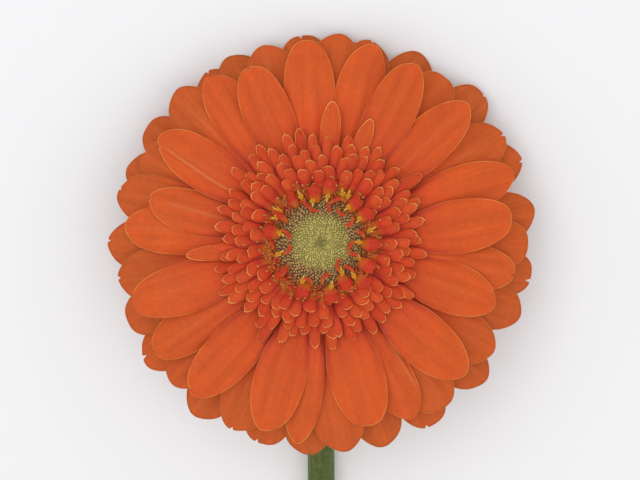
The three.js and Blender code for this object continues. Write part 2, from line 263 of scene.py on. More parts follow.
def grid_shell(top, bottom):
    """Points and faces of a closed thin shell between two grids of points."""
    rows, columns = top.shape[:2]
    count = rows * columns
    number = np.arange(count).reshape(rows, columns)
    quads = np.stack([number[:-1, :-1], number[:-1, 1:], number[1:, 1:], number[1:, :-1]], -1).reshape(-1, 4)
    edge = np.concatenate([number[0, :-1], number[:-1, -1], number[-1, :0:-1], number[:0:-1, 0]])
    after = np.roll(edge, -1)
    rim = np.stack([edge, edge + count, after + count, after], -1)
    faces = np.concatenate([quads, quads[:, ::-1] + count, rim])
    return np.concatenate([top.reshape(-1, 3), bottom.reshape(-1, 3)]), faces.tolist()


CREASE_RISE = 0.3  # how far a crease of full weight stands above its blade


def blade(root, tip, width, bearing=0.0, hump=0.0, bend=1.0, curl=0.0, roll=0.0, camber=0.0, fullest=0.68,
          claw=0.3, point=2.0, uneven=0.0, bow=0.0, thickness=0.35, columns=17, rows=17, nicks=(),
          groove=0.0, creases=(), wave=0.0, turned_edge=0.0, number=0.0, tone=0.5, lit=0.0):
    """A petal, ligule, lobe or bract that grows along its bearing from root to tip, each a distance from
    the bloom's axis and a height. Its tip is round where point is 2 and sharper below that. Its columns run
    lengthwise, as the veins do. Each nick is a share of the half width, a depth and a half width, and each
    crease a share of the half width, a half width, how much it shows, paler as a painted highlight or darker
    as painted shade, and where along the blade it starts and stops. It keeps petal (across, along, number),
    looks (distance from the edge, share of the length, 1 underneath), crease, tone and lit for its material."""
    length = math.hypot(tip[0] - root[0], tip[1] - root[1])
    half = width / 2
    spread = np.sin(np.linspace(-1, 1, columns) * math.pi / 2)
    cuts = [middle + side * nick_half / half for middle, _, nick_half in nicks
            for side in (-1, -0.5, 0, 0.5, 1)]
    share = np.unique(np.round(np.concatenate([spread, cuts]), 4))
    end = fullest + (1 - fullest) * np.clip(1 - np.abs(share) ** point, 0, 1) ** (1 / 2.4)
    end = end + uneven / length * np.sin(4.3 * share + number * 2.1) * (1 - share**2)
    slant = np.gradient(end * length, share * half)
    for middle, depth, nick_half in nicks:
        end = end - depth / length * np.clip(1 - np.abs(share - middle) * half / nick_half, 0, 1)
    steps = 1 - (1 - np.linspace(0, 1, rows)) ** 1.25
    along = steps[:, None] * end[None, :]
    across_share = np.broadcast_to(share, along.shape)
    growing = claw + (1 - claw) * np.sin(np.clip(along / fullest, 0, 1) ** 1.6 * math.pi / 2)
    across = across_share * growing * half

    def midline(at):
        return (root[0] + (tip[0] - root[0]) * at,
                root[1] + (tip[1] - root[1]) * at**bend + hump * 4 * at * (1 - at))

    radius, height = midline(along)
    before, after = midline(np.maximum(along - 0.01, 0)), midline(np.minimum(along + 0.01, 1))
    slope = np.arctan2(after[1] - before[1], after[0] - before[0])
    body = smooth(0, 0.2, along) * (1 - smooth(0.86, 1, along / end))
    flute = np.exp(-(((np.abs(across_share) - 0.37) / 0.1) ** 2))
    height = height + across * roll - camber * (across_share * growing) ** 2 - groove * flute * body
    height = height - turned_edge * smooth(0.7, 1, np.abs(across_share)) * body
    ripple = np.sin(2 * math.pi * (along * 1.7 + number * 0.37 + 0.2 * np.sign(across_share)))
    height = height + wave * np.abs(across_share) ** 3 * ripple * smooth(0.1, 0.5, along)
    rim = np.minimum((1 - np.abs(across_share)) * growing * half,
                     (end - along) * length / np.sqrt(1 + slant**2))
    through = thickness / 2 * (0.35 + 0.65 * smooth(0, 0.18 * half, rim))
    crease = np.zeros_like(along)
    for middle, wide, weight, start, stop in creases:
        seen = smooth(start, start + 0.12, along) * (1 - smooth(stop - 0.12, stop, along))
        crease = crease + weight * np.exp(-(((across_share - middle) * half / wide) ** 2)) * body * seen
    height = height + CREASE_RISE * crease
    sides = []
    for sign in (1, -1):
        y = radius - sign * through * np.sin(slope)
        z = height + sign * through * np.cos(slope)
        x = across + curl * along**2 + bow * 4 * along * (1 - along)
        turn = math.radians(bearing)
        sides.append(np.stack([x * math.cos(turn) + y * math.sin(turn),
                               y * math.cos(turn) - x * math.sin(turn), z], -1))
    points, faces = grid_shell(*sides)
    petal = np.stack([across, along * length, np.full_like(along, number * 7.3)], -1).reshape(-1, 3)
    looks = [np.stack([rim, along, np.full_like(along, under)], -1).reshape(-1, 3) for under in (0, 1)]
    facts = {"petal": np.concatenate([petal, petal]), "looks": np.concatenate(looks),
             "crease": np.tile(crease.ravel(), 2), "tone": np.full(len(points), tone),
             "lit": np.full(len(points), lit)}
    return points, faces, facts


def set_out(part, bearing, radius, height, heading):
    """Moves a part that was made round its own root to where it grows, and turns it to its heading."""
    points, faces, facts = part
    x, y, z = points.T
    turn, at = math.radians(heading), math.radians(bearing)
    moved = np.stack([x * math.cos(turn) + y * math.sin(turn), y * math.cos(turn) - x * math.sin(turn), z], 1)
    return moved + [radius * math.sin(at), radius * math.cos(at), height], faces, facts


def tube(path, radii, sides=8, bumps=0.0):
    """A closed round stalk along a path, with bumps as a share of its radius from side to side.
    It keeps tipward, the share of its length."""
    path = np.asarray(path, float)
    radii = np.asarray(radii, float)
    ahead = np.gradient(path, axis=0)
    ahead /= np.linalg.norm(ahead, axis=1)[:, None]
    side = np.cross(ahead, np.eye(3)[np.argmin(np.ptp(path, axis=0))])
    side /= np.linalg.norm(side, axis=1)[:, None]
    over = np.cross(side, ahead)
    angle = np.arange(sides) * 2 * math.pi / sides
    reach = 1 + bumps * np.where(np.arange(sides) % 2, -1, 1)
    aside, above = ((turn(angle) * reach)[None, :, None] for turn in (np.cos, np.sin))
    ring = aside * side[:, None] + above * over[:, None]
    points = (path[:, None] + ring * radii[:, None, None]).reshape(-1, 3)
    number = np.arange(len(points)).reshape(len(path), sides)
    beside = np.roll(number, -1, axis=1)
    quads = np.stack([number[:-1], beside[:-1], beside[1:], number[1:]], -1).reshape(-1, 4).tolist()
    share = np.repeat(np.linspace(0, 1, len(path)), sides)
    return points, quads + [number[0, ::-1].tolist(), number[-1].tolist()], {"tipward": share}


def lathe(profile, sides=96):
    """A ring or cup turned round the bloom's axis from a closed outline of radius and height."""
    outline = np.asarray(profile, float)
    angle = np.arange(sides) * 2 * math.pi / sides
    points = np.stack([outline[:, None, 0] * np.sin(angle), outline[:, None, 0] * np.cos(angle),
                       np.broadcast_to(outline[:, None, 1], (len(outline), sides))], -1).reshape(-1, 3)
    number = np.arange(len(points)).reshape(len(outline), sides)
    below, beside = np.roll(number, -1, axis=0), np.roll(number, -1, axis=1)
    both = np.roll(below, -1, axis=1)
    return points, np.stack([number, below, both, beside], -1).reshape(-1, 4).tolist(), {}


# ---- Node trees ----
def add(tree, kind, inputs=(), give=0, **settings):
    """Adds a node, sets it up, and feeds its inputs with plain values or with other nodes' outputs. A plain
    colour gets its fourth number. It gives back one of the outputs, or all of them where give is None."""
    node = tree.nodes.new(kind)
    for key, value in settings.items():
        setattr(node, key, value)
    for key, value in dict(inputs).items():
        if isinstance(value, bpy.types.NodeSocket):
            tree.links.new(value, node.inputs[key])
        elif node.inputs[key].type == "RGBA":
            node.inputs[key].default_value = (*value[:3], 1.0)
        else:
            node.inputs[key].default_value = value
    return node.outputs if give is None else node.outputs[give]


def new_tree(name, sockets):
    """An empty geometry tree with named inputs and the geometry as its output."""
    tree = bpy.data.node_groups.new(name, "GeometryNodeTree")
    for label, kind, default in sockets:
        socket = tree.interface.new_socket(name=label, in_out="INPUT", socket_type=kind)
        if default is not None:
            socket.default_value = default
    tree.interface.new_socket(name="Geometry", in_out="OUTPUT", socket_type="NodeSocketGeometry")
    return tree


def end_tree(tree, instances, material):
    """Ends a geometry tree: its instances made real, with their material."""
    real = add(tree, "GeometryNodeRealizeInstances", {0: instances})
    done = add(tree, "GeometryNodeSetMaterial", {"Geometry": real, "Material": material})
    output = tree.nodes.new("NodeGroupOutput")
    tree.links.new(done, output.inputs[0])


def grown(name, tree, mesh, **values):
    """The plain mesh that a tree grows from a mesh, with each input set by its socket's identifier."""
    holder = bpy.data.objects.new(name + "_holder", mesh)
    bpy.context.scene.collection.objects.link(holder)
    modifier = holder.modifiers.new("Grow", "NODES")
    modifier.node_group = tree
    sockets = {item.name: item.identifier for item in tree.interface.items_tree if item.in_out == "INPUT"}
    for key, value in values.items():
        modifier[sockets[key.replace("_", " ")]] = value
    graph = bpy.context.evaluated_depsgraph_get()
    result = bpy.data.meshes.new_from_object(holder.evaluated_get(graph), depsgraph=graph)
    result.name = name
    bpy.data.objects.remove(holder)
    result.shade_smooth()
    return result


def whorl_tree():
    """Blades round the bloom's axis, each a turn on from the last, from the nearest row to the furthest.
    Roots and tips are vectors of radius and height, and size is the width's share of the blade's own."""
    tree = new_tree("Whorl", (
        ("Count", "NodeSocketInt", 21), ("Turn", "NodeSocketFloat", GOLDEN_ANGLE),
        ("First Turn", "NodeSocketFloat", 0.0), ("Power", "NodeSocketFloat", 1.0),
        ("Near Root", "NodeSocketVector", None), ("Far Root", "NodeSocketVector", None),
        ("Near Tip", "NodeSocketVector", None), ("Far Tip", "NodeSocketVector", None),
        ("Near Size", "NodeSocketFloat", 1.0), ("Far Size", "NodeSocketFloat", 1.0),
        ("Blade Length", "NodeSocketFloat", 0.009), ("Reach Scatter", "NodeSocketFloat", 0.0),
        ("Turn Scatter", "NodeSocketFloat", 0.0), ("Roll Scatter", "NodeSocketFloat", 0.0),
        ("Size Scatter", "NodeSocketFloat", 0.0), ("Far Side Reach", "NodeSocketFloat", 0.0),
        ("Seed", "NodeSocketInt", 1), ("Blades", "NodeSocketCollection", None),
        ("Material", "NodeSocketMaterial", None),
    ))
    given = add(tree, "NodeGroupInput", give=None)
    index = add(tree, "GeometryNodeInputIndex")
    last = add(tree, "ShaderNodeMath", {0: given["Count"], 1: 1.0}, operation="SUBTRACT")
    share = add(tree, "ShaderNodeMath", {0: index, 1: last}, operation="DIVIDE")
    out = add(tree, "ShaderNodeMath", {0: share, 1: given["Power"]}, operation="POWER")
    chance = []
    for step in range(5):
        seed = add(tree, "ShaderNodeMath", {0: given["Seed"], 1: float(step)}, operation="ADD")
        chance.append(add(tree, "FunctionNodeRandomValue", {2: -0.5, 3: 0.5, "Seed": seed}, give=1,
                          data_type="FLOAT"))
    whole = add(tree, "ShaderNodeMath", {0: index, 1: given["Turn"], 2: given["First Turn"]},
                operation="MULTIPLY_ADD")
    bearing = add(tree, "ShaderNodeMath", {0: chance[0], 1: given["Turn Scatter"], 2: whole},
                  operation="MULTIPLY_ADD")
    root = add(tree, "ShaderNodeMix", {0: out, 4: given["Near Root"], 5: given["Far Root"]}, give=1,
               data_type="VECTOR")
    mean_tip = add(tree, "ShaderNodeMix", {0: out, 4: given["Near Tip"], 5: given["Far Tip"]}, give=1,
                   data_type="VECTOR")
    east = add(tree, "ShaderNodeMath", {0: bearing}, operation="SINE")
    north = add(tree, "ShaderNodeMath", {0: bearing}, operation="COSINE")
    further = add(tree, "ShaderNodeMath", {0: north, 1: given["Far Side Reach"]}, operation="MULTIPLY")
    further = add(tree, "ShaderNodeMath", {0: further, 1: out}, operation="MULTIPLY")
    scatter = add(tree, "ShaderNodeMath", {0: chance[1], 1: given["Reach Scatter"], 2: further},
                  operation="MULTIPLY_ADD")
    aside = add(tree, "ShaderNodeCombineXYZ", {0: scatter})
    tip = add(tree, "ShaderNodeVectorMath", {0: mean_tip, 1: aside}, operation="ADD")
    line = add(tree, "ShaderNodeVectorMath", {0: tip, 1: root}, operation="SUBTRACT")
    flat = add(tree, "ShaderNodeSeparateXYZ", {0: line}, give=None)
    slope = add(tree, "ShaderNodeMath", {0: flat[1], 1: flat[0]}, operation="ARCTAN2")
    length = add(tree, "ShaderNodeVectorMath", {0: line}, give=1, operation="LENGTH")
    stretch = add(tree, "ShaderNodeMath", {0: length, 1: given["Blade Length"]}, operation="DIVIDE")
    size = add(tree, "ShaderNodeMix", {0: out, 2: given["Near Size"], 3: given["Far Size"]})
    size = add(tree, "ShaderNodeMath", {0: chance[4], 1: given["Size Scatter"], 2: size},
               operation="MULTIPLY_ADD")
    ring = add(tree, "ShaderNodeSeparateXYZ", {0: root}, give=None)
    x = add(tree, "ShaderNodeMath", {0: ring[0], 1: east}, operation="MULTIPLY")
    y = add(tree, "ShaderNodeMath", {0: ring[0], 1: north}, operation="MULTIPLY")
    place = add(tree, "ShaderNodeCombineXYZ", {0: x, 1: y, 2: ring[1]})
    points = add(tree, "GeometryNodePoints", {"Count": given["Count"], "Position": place})
    tone = add(tree, "ShaderNodeMath", {0: chance[2], 1: 0.5}, operation="ADD")
    for key, value in (("tone", tone), ("out", out)):
        points = add(tree, "GeometryNodeStoreNamedAttribute",
                     {"Geometry": points, "Name": key, "Value": value}, data_type="FLOAT", domain="POINT")
    back = add(tree, "ShaderNodeMath", {0: bearing, 1: -1.0}, operation="MULTIPLY")
    roll = add(tree, "ShaderNodeMath", {0: chance[3], 1: given["Roll Scatter"]}, operation="MULTIPLY")
    turn = add(tree, "ShaderNodeCombineXYZ", {0: slope, 1: roll, 2: back})
    scale = add(tree, "ShaderNodeCombineXYZ", {0: size, 1: stretch, 2: size})
    kinds = add(tree, "GeometryNodeCollectionInfo",
                {"Collection": given["Blades"], "Separate Children": True, "Reset Children": True})
    instances = add(tree, "GeometryNodeInstanceOnPoints",
                    {"Points": points, "Instance": kinds, "Pick Instance": True, "Instance Index": index,
                     "Rotation": turn, "Scale": scale})
    end_tree(tree, instances, given["Material"])
    return tree


def whorl(name, kinds, material, **values):
    """The plain mesh of a whorl whose blades are picked in turn from a few kinds."""
    found = bpy.data.collections.new(name)
    for i, part in enumerate(kinds):
        found.objects.link(bpy.data.objects.new(f"{name}_{i}", new_mesh(f"{name}_{i}", part)))
    mesh = grown(name, whorl_tree(), bpy.data.meshes.new("none"), Blades=found, Material=material, **values)
    for blank in list(found.objects):
        bpy.data.objects.remove(blank)
    bpy.data.collections.remove(found)
    return mesh


def spot(radius, height):
    """A root or a tip in millimetres, as a whorl takes it."""
    return (radius * MM, height * MM, 0)


def hair_tree():
    """Fine short hairs that stand all over a surface, each leaning its own way. None stand on the faces of
    the bare material, nor where the surface faces down more than the lowest normal, as there it lies on the
    floor."""
    tree = new_tree("Hairs", (
        ("Surface", "NodeSocketGeometry", None), ("Density", "NodeSocketFloat", 400000.0),
        ("Hair Length", "NodeSocketFloat", 0.0007), ("Hair Radius", "NodeSocketFloat", 0.00003),
        ("Lean", "NodeSocketFloat", 0.6), ("Lowest Normal", "NodeSocketFloat", -1.1),
        ("Bare Material", "NodeSocketInt", -1), ("Seed", "NodeSocketInt", 1),
        ("Material", "NodeSocketMaterial", None),
    ))
    given = add(tree, "NodeGroupInput", give=None)
    facing = add(tree, "GeometryNodeInputNormal")
    upward = add(tree, "ShaderNodeSeparateXYZ", {0: facing}, give=2)
    clear = add(tree, "ShaderNodeMath", {0: upward, 1: given["Lowest Normal"]}, operation="GREATER_THAN")
    coat = add(tree, "GeometryNodeInputMaterialIndex")
    bare = add(tree, "ShaderNodeMath", {0: coat, 1: given["Bare Material"], 2: 0.5}, operation="COMPARE")
    clear = add(tree, "ShaderNodeMath", {0: clear, 1: bare}, operation="GREATER_THAN")
    spots = add(tree, "GeometryNodeDistributePointsOnFaces",
                {"Mesh": given["Surface"], "Selection": clear, "Density": given["Density"],
                 "Seed": given["Seed"]}, give=None)
    hair = add(tree, "GeometryNodeMeshCone", {"Vertices": 3, "Radius Top": 0.0, "Depth": given["Hair Length"],
                                              "Radius Bottom": given["Hair Radius"]})
    low = add(tree, "ShaderNodeMath", {0: given["Lean"], 1: -1.0}, operation="MULTIPLY")
    lows = add(tree, "ShaderNodeCombineXYZ", {0: low, 1: low})
    highs = add(tree, "ShaderNodeCombineXYZ", {0: given["Lean"], 1: given["Lean"]})
    lean = add(tree, "FunctionNodeRandomValue", {0: lows, 1: highs, "Seed": given["Seed"]},
               data_type="FLOAT_VECTOR")
    size = add(tree, "FunctionNodeRandomValue", {2: 0.5, 3: 1.2, "Seed": given["Seed"]}, give=1,
               data_type="FLOAT")
    upright = add(tree, "FunctionNodeRotationToEuler", {0: spots["Rotation"]})
    turned = add(tree, "FunctionNodeRotateEuler", {0: upright, 1: lean}, rotation_type="EULER", space="LOCAL")
    instances = add(tree, "GeometryNodeInstanceOnPoints",
                    {"Points": spots["Points"], "Instance": hair, "Rotation": turned, "Scale": size})
    end_tree(tree, instances, given["Material"])
    return tree


# ---- Finishes ----
def streaks(tree, at, across, along, detail):
    """Random streaks that run lengthwise, each about so many millimetres wide and long."""
    narrowed = add(tree, "ShaderNodeVectorMath", {0: at, 1: (1 / across, 1 / along, 1)}, operation="MULTIPLY")
    return add(tree, "ShaderNodeTexNoise", {"Vector": narrowed, "Scale": 1.0, "Detail": detail})


def grains(tree, width, detail):
    """Random patches all through a piece, each about so many millimetres wide."""
    return add(tree, "ShaderNodeTexNoise",
               {"Vector": add(tree, "ShaderNodeTexCoord", give=3), "Scale": 1 / (width * MM),
                "Detail": detail})


def new_finish(name):
    """A material with an empty tree."""
    finish = bpy.data.materials.new(name)
    finish.use_nodes = True
    finish.node_tree.nodes.clear()
    return finish, finish.node_tree


def end_finish(tree, colour, roughness, height, depth, specular=0.35, sheen=0.0, subsurface=0.0):
    """Ends a material with its skin: colour and roughness from its nodes, and a bump of a real depth."""
    bump = add(tree, "ShaderNodeBump", {"Height": height, "Distance": depth * MM, "Strength": 1.0})
    skin = add(tree, "ShaderNodeBsdfPrincipled", {
        "Base Color": colour, "Roughness": roughness, "Normal": bump, "IOR": 1.42,
        "Specular IOR Level": specular, "Sheen Weight": sheen, "Sheen Roughness": 0.5,
        "Subsurface Weight": subsurface, "Subsurface Radius": (1.0, 0.2, 0.15), "Subsurface Scale": 1.0 * MM,
    })
    output = tree.nodes.new("ShaderNodeOutputMaterial")
    tree.links.new(skin, output.inputs["Surface"])


# Colours of small marks on the petals: their shaded sides by the foot, the browner edges of the rear rows,
# pollen, and the rare specks.
SHADED_SIDE = "#921236"
REAR_EDGE = "#8a3a16"
POLLEN_DUST = "#d08c24"
SPECK = "#7d3418"


def petal_finish(name, foot, far, rear, rim, under, vein_depth, deep=None, foot_from=0.05, foot_to=0.8,
                 rim_width=0.22, rim_from=0.3, rim_weight=0.6, rim_sides=0.25, rear_rim=0.6,
                 side_shade=0.7, side_width=2.0, side_to=0.8, rear_edge=0.45, dusted=0.0):
    """Fresh petal: a satin skin of long cells, so it is faintly streaked lengthwise and mottled, and shines
    softly along its ribs. Its creases are painted: darker ones as painted shade, paler ones as a painted
    highlight. It is redder and darker at the foot, partly its own colour and partly painted shade where the
    foot lies under the petals before it. Where its row lies behind, its foot is a deeper, brighter red and
    its
    covered part a little lighter: painted light, for the light that comes to it through the petals before it.
    Painted shade darkens its sides by the foot to crimson. A thin pale line round its edge is its own paler
    margin and a painted highlight. Where its row lies behind it is browner, more veined, and darker towards
    its edge. Where it is dusted, pollen from the open florets has turned its foot yellow, most on the florets
    nearest to the disc. Widths are in millimetres."""
    finish, tree = new_finish(name)
    petal = add(tree, "ShaderNodeAttribute", give=1, attribute_name="petal")
    looks = add(tree, "ShaderNodeAttribute", give=1, attribute_name="looks")
    rim_at, along, underneath = add(tree, "ShaderNodeSeparateXYZ", {0: looks}, give=None)
    tone = add(tree, "ShaderNodeAttribute", give=2, attribute_name="tone")
    crease = add(tree, "ShaderNodeAttribute", give=2, attribute_name="crease")
    bands = streaks(tree, petal, 2.2, 30, 2.0)
    veins = streaks(tree, petal, 0.4, 12, 2.0)
    blotches = add(tree, "ShaderNodeTexNoise", {"Vector": petal, "Scale": 0.16, "Detail": 3.0})
    mottle = add(tree, "ShaderNodeTexNoise", {"Vector": petal, "Scale": 0.9, "Detail": 2.0})

    # Redder and darker towards the foot: the petal's own colour and painted shade where the foot lies under
    # the petals before it. In rear rows the foot goes towards deep, a brighter red: painted light through the
    # petals before it.
    outward = add(tree, "ShaderNodeMapRange", {0: along, 1: foot_from, 2: foot_to},
                  interpolation_type="SMOOTHSTEP")
    colour = add(tree, "ShaderNodeMix",
                 {0: outward,
                  6: add(tree, "ShaderNodeMix", {0: tone, 6: foot, 7: deep or foot}, give=2,
                         data_type="RGBA"),
                  7: add(tree, "ShaderNodeMix", {0: tone, 6: far, 7: rear}, give=2, data_type="RGBA")},
                 give=2, data_type="RGBA")
    light = add(tree, "ShaderNodeMapRange", {0: bands, 1: 0.3, 2: 0.7, 3: 0.93, 4: 1.05})
    darkest = add(tree, "ShaderNodeMapRange", {0: tone, 3: 0.95, 4: 0.9})
    lightest = add(tree, "ShaderNodeMapRange", {0: tone, 3: 1.03, 4: 1.05})
    # Painted light: in rear rows, the part of a ray that lies under those before it is lightened by lit, for
    # the light that comes through them.
    covered = add(tree, "ShaderNodeMapRange", {0: along, 1: 0.3, 2: 0.95, 3: 1.0, 4: 0.0},
                  interpolation_type="SMOOTHSTEP")
    for part in (add(tree, "ShaderNodeMapRange", {0: veins, 1: 0.3, 2: 0.7, 3: darkest, 4: lightest}),
                 add(tree, "ShaderNodeMapRange", {0: blotches, 1: 0.3, 2: 0.7, 3: 0.95, 4: 1.04}),
                 add(tree, "ShaderNodeMapRange", {0: mottle, 1: 0.3, 2: 0.7, 3: 0.95, 4: 1.05}),
                 add(tree, "ShaderNodeMath",
                     {0: covered, 1: add(tree, "ShaderNodeAttribute", give=2, attribute_name="lit"), 2: 1.0},
                     operation="MULTIPLY_ADD"),
                 # Darker creases: painted shade in the grooves.
                 add(tree, "ShaderNodeMath",
                     {0: add(tree, "ShaderNodeMath", {0: crease, 1: 0.0}, operation="MINIMUM"), 1: 1.0},
                     operation="ADD")):
        light = add(tree, "ShaderNodeMath", {0: light, 1: part}, operation="MULTIPLY")
    colour = add(tree, "ShaderNodeVectorMath", {0: colour, "Scale": light}, operation="SCALE")
    # Paler creases take the underside's colour as a painted highlight on the ridges. The underside has that
    # colour as its own.
    colour = add(tree, "ShaderNodeMix",
                 {0: add(tree, "ShaderNodeMath", {0: crease, 1: underneath}, operation="MAXIMUM"), 6: colour,
                  7: under}, give=2, data_type="RGBA")

    near = add(tree, "ShaderNodeMapRange",
               {0: add(tree, "ShaderNodeAttribute", give=2, attribute_name="out"), 1: 0.1, 2: 0.6, 3: dusted,
                4: 0.0})
    dust = add(tree, "ShaderNodeMath",
               {0: add(tree, "ShaderNodeMapRange", {0: along, 1: 0.12, 2: 0.5, 3: 1.0, 4: 0.0}), 1: near},
               operation="MULTIPLY")
    colour = add(tree, "ShaderNodeMix", {0: dust, 6: colour, 7: linear(POLLEN_DUST)}, give=2,
                 data_type="RGBA")
    # Painted shade: the sides of a petal by its foot, where it lies under its neighbours, are darkened to
    # crimson.
    shade_by_foot = add(tree, "ShaderNodeMapRange", {0: along, 1: foot_from, 2: side_to, 3: side_shade, 4: 0.0},
                  interpolation_type="SMOOTHSTEP")
    by_tip = add(tree, "ShaderNodeMath", {0: tone, 1: rear_edge}, operation="MULTIPLY")
    for weight, wide, code in ((shade_by_foot, side_width, SHADED_SIDE), (by_tip, 0.8, REAR_EDGE)):
        colour = add(tree, "ShaderNodeMix",
                     {0: add(tree, "ShaderNodeMapRange", {0: rim_at, 1: 0.1, 2: wide, 3: weight, 4: 0.0},
                             interpolation_type="SMOOTHSTEP"), 6: colour, 7: linear(code)}, give=2,
                     data_type="RGBA")
    # A thin pale line round the edge, strongest at the tip: the petal's own paler margin and a painted
    # highlight.
    edge = add(tree, "ShaderNodeMapRange",
               {0: rim_at, 1: rim_width * 0.4, 2: rim_width, 3: rim_weight, 4: 0.0},
               interpolation_type="SMOOTHSTEP")
    for part in (add(tree, "ShaderNodeMapRange", {0: along, 1: rim_from, 3: rim_sides, 4: 1.25}),
                 add(tree, "ShaderNodeMapRange", {0: blotches, 1: 0.38, 2: 0.56, 3: 0.3}),
                 add(tree, "ShaderNodeMapRange", {0: tone, 1: 0.2, 2: 0.6, 3: 1.0, 4: rear_rim})):
        edge = add(tree, "ShaderNodeMath", {0: edge, 1: part}, operation="MULTIPLY")
    colour = add(tree, "ShaderNodeMix", {0: edge, 6: colour, 7: rim}, give=2, data_type="RGBA")
    cells = add(tree, "ShaderNodeTexVoronoi", {"Vector": petal, "Scale": 0.11}, give=None)
    rare = add(tree, "ShaderNodeMath", {0: add(tree, "ShaderNodeSeparateXYZ", {0: cells["Color"]}), 1: 0.72},
               operation="GREATER_THAN")
    speck = add(tree, "ShaderNodeMath",
                {0: add(tree, "ShaderNodeMapRange",
                        {0: cells["Distance"], 1: 0.015, 2: 0.035, 3: 0.45, 4: 0.0}), 1: rare},
                operation="MULTIPLY")
    colour = add(tree, "ShaderNodeMix", {0: speck, 6: colour, 7: linear(SPECK)}, give=2, data_type="RGBA")
    roughness = add(tree, "ShaderNodeMapRange", {0: blotches, 1: 0.3, 2: 0.7, 3: 0.52, 4: 0.66})
    height = add(tree, "ShaderNodeMath", {0: bands, 1: 2.5, 2: veins}, operation="MULTIPLY_ADD")
    end_finish(tree, colour, roughness, height, vein_depth, specular=0.22, subsurface=0.2)
    return finish


# The dark colours between the buds, here at the disc's edge, are painted shade.
EDGE_GAP_SHADE = "#a5512e"  # between the buds at the disc's edge
DIMPLE = "#5f5a2c"  # the shaded middle of the disc
BRACT_EDGE = "#8d9a5c"


def bud_finish(name, green, green_gap_shade, brown, brown_gap_shade, rust):
    """Closed florets of the disc: matt and downy, pale green rods in the middle, then brown buds with
    tan tips over dark purple-brown gaps, and rusty ones at the edge. The gaps are painted shade: each bud
    is painted darker towards its foot, and the bed between the buds takes the gaps' colours. The dimple in
    the middle is painted darker as its shade."""
    finish, tree = new_finish(name)
    out = add(tree, "ShaderNodeAttribute", give=2, attribute_name="out")
    grain = grains(tree, 0.35, 2.0)
    place = add(tree, "ShaderNodeMath", {0: grains(tree, 3, 2.0), 1: 0.2, 2: out}, operation="MULTIPLY_ADD")
    ripe = add(tree, "ShaderNodeMapRange", {0: place, 1: 0.6, 2: 0.74}, interpolation_type="SMOOTHSTEP")
    edge = add(tree, "ShaderNodeMapRange", {0: place, 1: 0.86, 2: 1.06}, interpolation_type="SMOOTHSTEP")
    tips = add(tree, "ShaderNodeMix",
               {0: edge,
                6: add(tree, "ShaderNodeMix", {0: ripe, 6: green, 7: brown}, give=2, data_type="RGBA"),
                7: rust}, give=2, data_type="RGBA")
    # Painted shade between the buds: darker green and purple-brown at their feet and on the bed.
    gaps = add(tree, "ShaderNodeMix",
               {0: edge,
                6: add(tree, "ShaderNodeMix", {0: ripe, 6: green_gap_shade, 7: brown_gap_shade}, give=2,
                       data_type="RGBA"), 7: linear(EDGE_GAP_SHADE)}, give=2, data_type="RGBA")
    # Each bud goes from the painted shade at its foot to its own colour at its tip, with grain.
    wander = add(tree, "ShaderNodeMath",
                 {0: grain, 1: 0.5, 2: add(tree, "ShaderNodeAttribute", give=2, attribute_name="tipward")},
                 operation="MULTIPLY_ADD")
    colour = add(tree, "ShaderNodeMix",
                 {0: add(tree, "ShaderNodeMapRange", {0: wander, 1: 0.55, 2: 1.05},
                         interpolation_type="SMOOTHSTEP"), 6: gaps, 7: tips}, give=2, data_type="RGBA")
    dimple = add(tree, "ShaderNodeMapRange", {0: out, 1: 0.02, 2: 0.26, 3: 0.85, 4: 0.0},
                 interpolation_type="SMOOTHSTEP")
    colour = add(tree, "ShaderNodeMix", {0: dimple, 6: colour, 7: linear(DIMPLE)}, give=2, data_type="RGBA")
    light = add(tree, "ShaderNodeMapRange",
                {0: add(tree, "ShaderNodeAttribute", give=2, attribute_name="tone"), 3: 0.76, 4: 1.26})
    colour = add(tree, "ShaderNodeVectorMath", {0: colour, "Scale": light}, operation="SCALE")
    end_finish(tree, colour, 0.75, grain, 0.05, specular=0.25, sheen=0.1)
    return finish


def pollen_finish(name, foot, tip):
    """Anther tubes dusted with pollen: bright, dry and grainy, paler where they end."""
    finish, tree = new_finish(name)
    grain = grains(tree, 0.2, 2.0)
    share = add(tree, "ShaderNodeMath",
                {0: grain, 1: 0.4, 2: add(tree, "ShaderNodeAttribute", give=2, attribute_name="tipward")},
                operation="MULTIPLY_ADD")
    colour = add(tree, "ShaderNodeMix",
                 {0: add(tree, "ShaderNodeMapRange", {0: share, 1: 0.82, 2: 1.3}), 6: foot, 7: tip}, give=2,
                 data_type="RGBA")
    end_finish(tree, colour, 0.8, grain, 0.06, specular=0.2, sheen=0.15)
    return finish


def stalk_finish(name, green, dark, base, rib_depth):
    """Fresh green stalk: satin and finely ribbed lengthwise, mottled, redder towards the cut."""
    finish, tree = new_finish(name)
    skin = add(tree, "ShaderNodeAttribute", give=1, attribute_name="skin")
    gone = add(tree, "ShaderNodeSeparateXYZ", {0: skin}, give=1)
    mottle = grains(tree, 1.6, 4.0)
    both = add(tree, "ShaderNodeMath", {0: streaks(tree, skin, 0.5, 9, 3.0), 1: mottle}, operation="ADD")
    colour = add(tree, "ShaderNodeMix",
                 {0: add(tree, "ShaderNodeMapRange", {0: both, 1: 0.8, 2: 1.25}), 6: dark, 7: green}, give=2,
                 data_type="RGBA")
    patchy = add(tree, "ShaderNodeMapRange", {0: grains(tree, 18, 3.0), 1: 0.4, 2: 0.6, 3: 0.25, 4: 0.8})
    aged = add(tree, "ShaderNodeMath",
               {0: add(tree, "ShaderNodeMapRange", {0: gone, 1: 180.0, 2: 350.0}), 1: patchy},
               operation="MULTIPLY")
    colour = add(tree, "ShaderNodeMix", {0: aged, 6: colour, 7: base}, give=2, data_type="RGBA")
    roughness = add(tree, "ShaderNodeMapRange", {0: mottle, 1: 0.3, 2: 0.7, 3: 0.45, 4: 0.62})
    end_finish(tree, colour, roughness, both, rib_depth, specular=0.4, sheen=0.1, subsurface=0.05)
    return finish


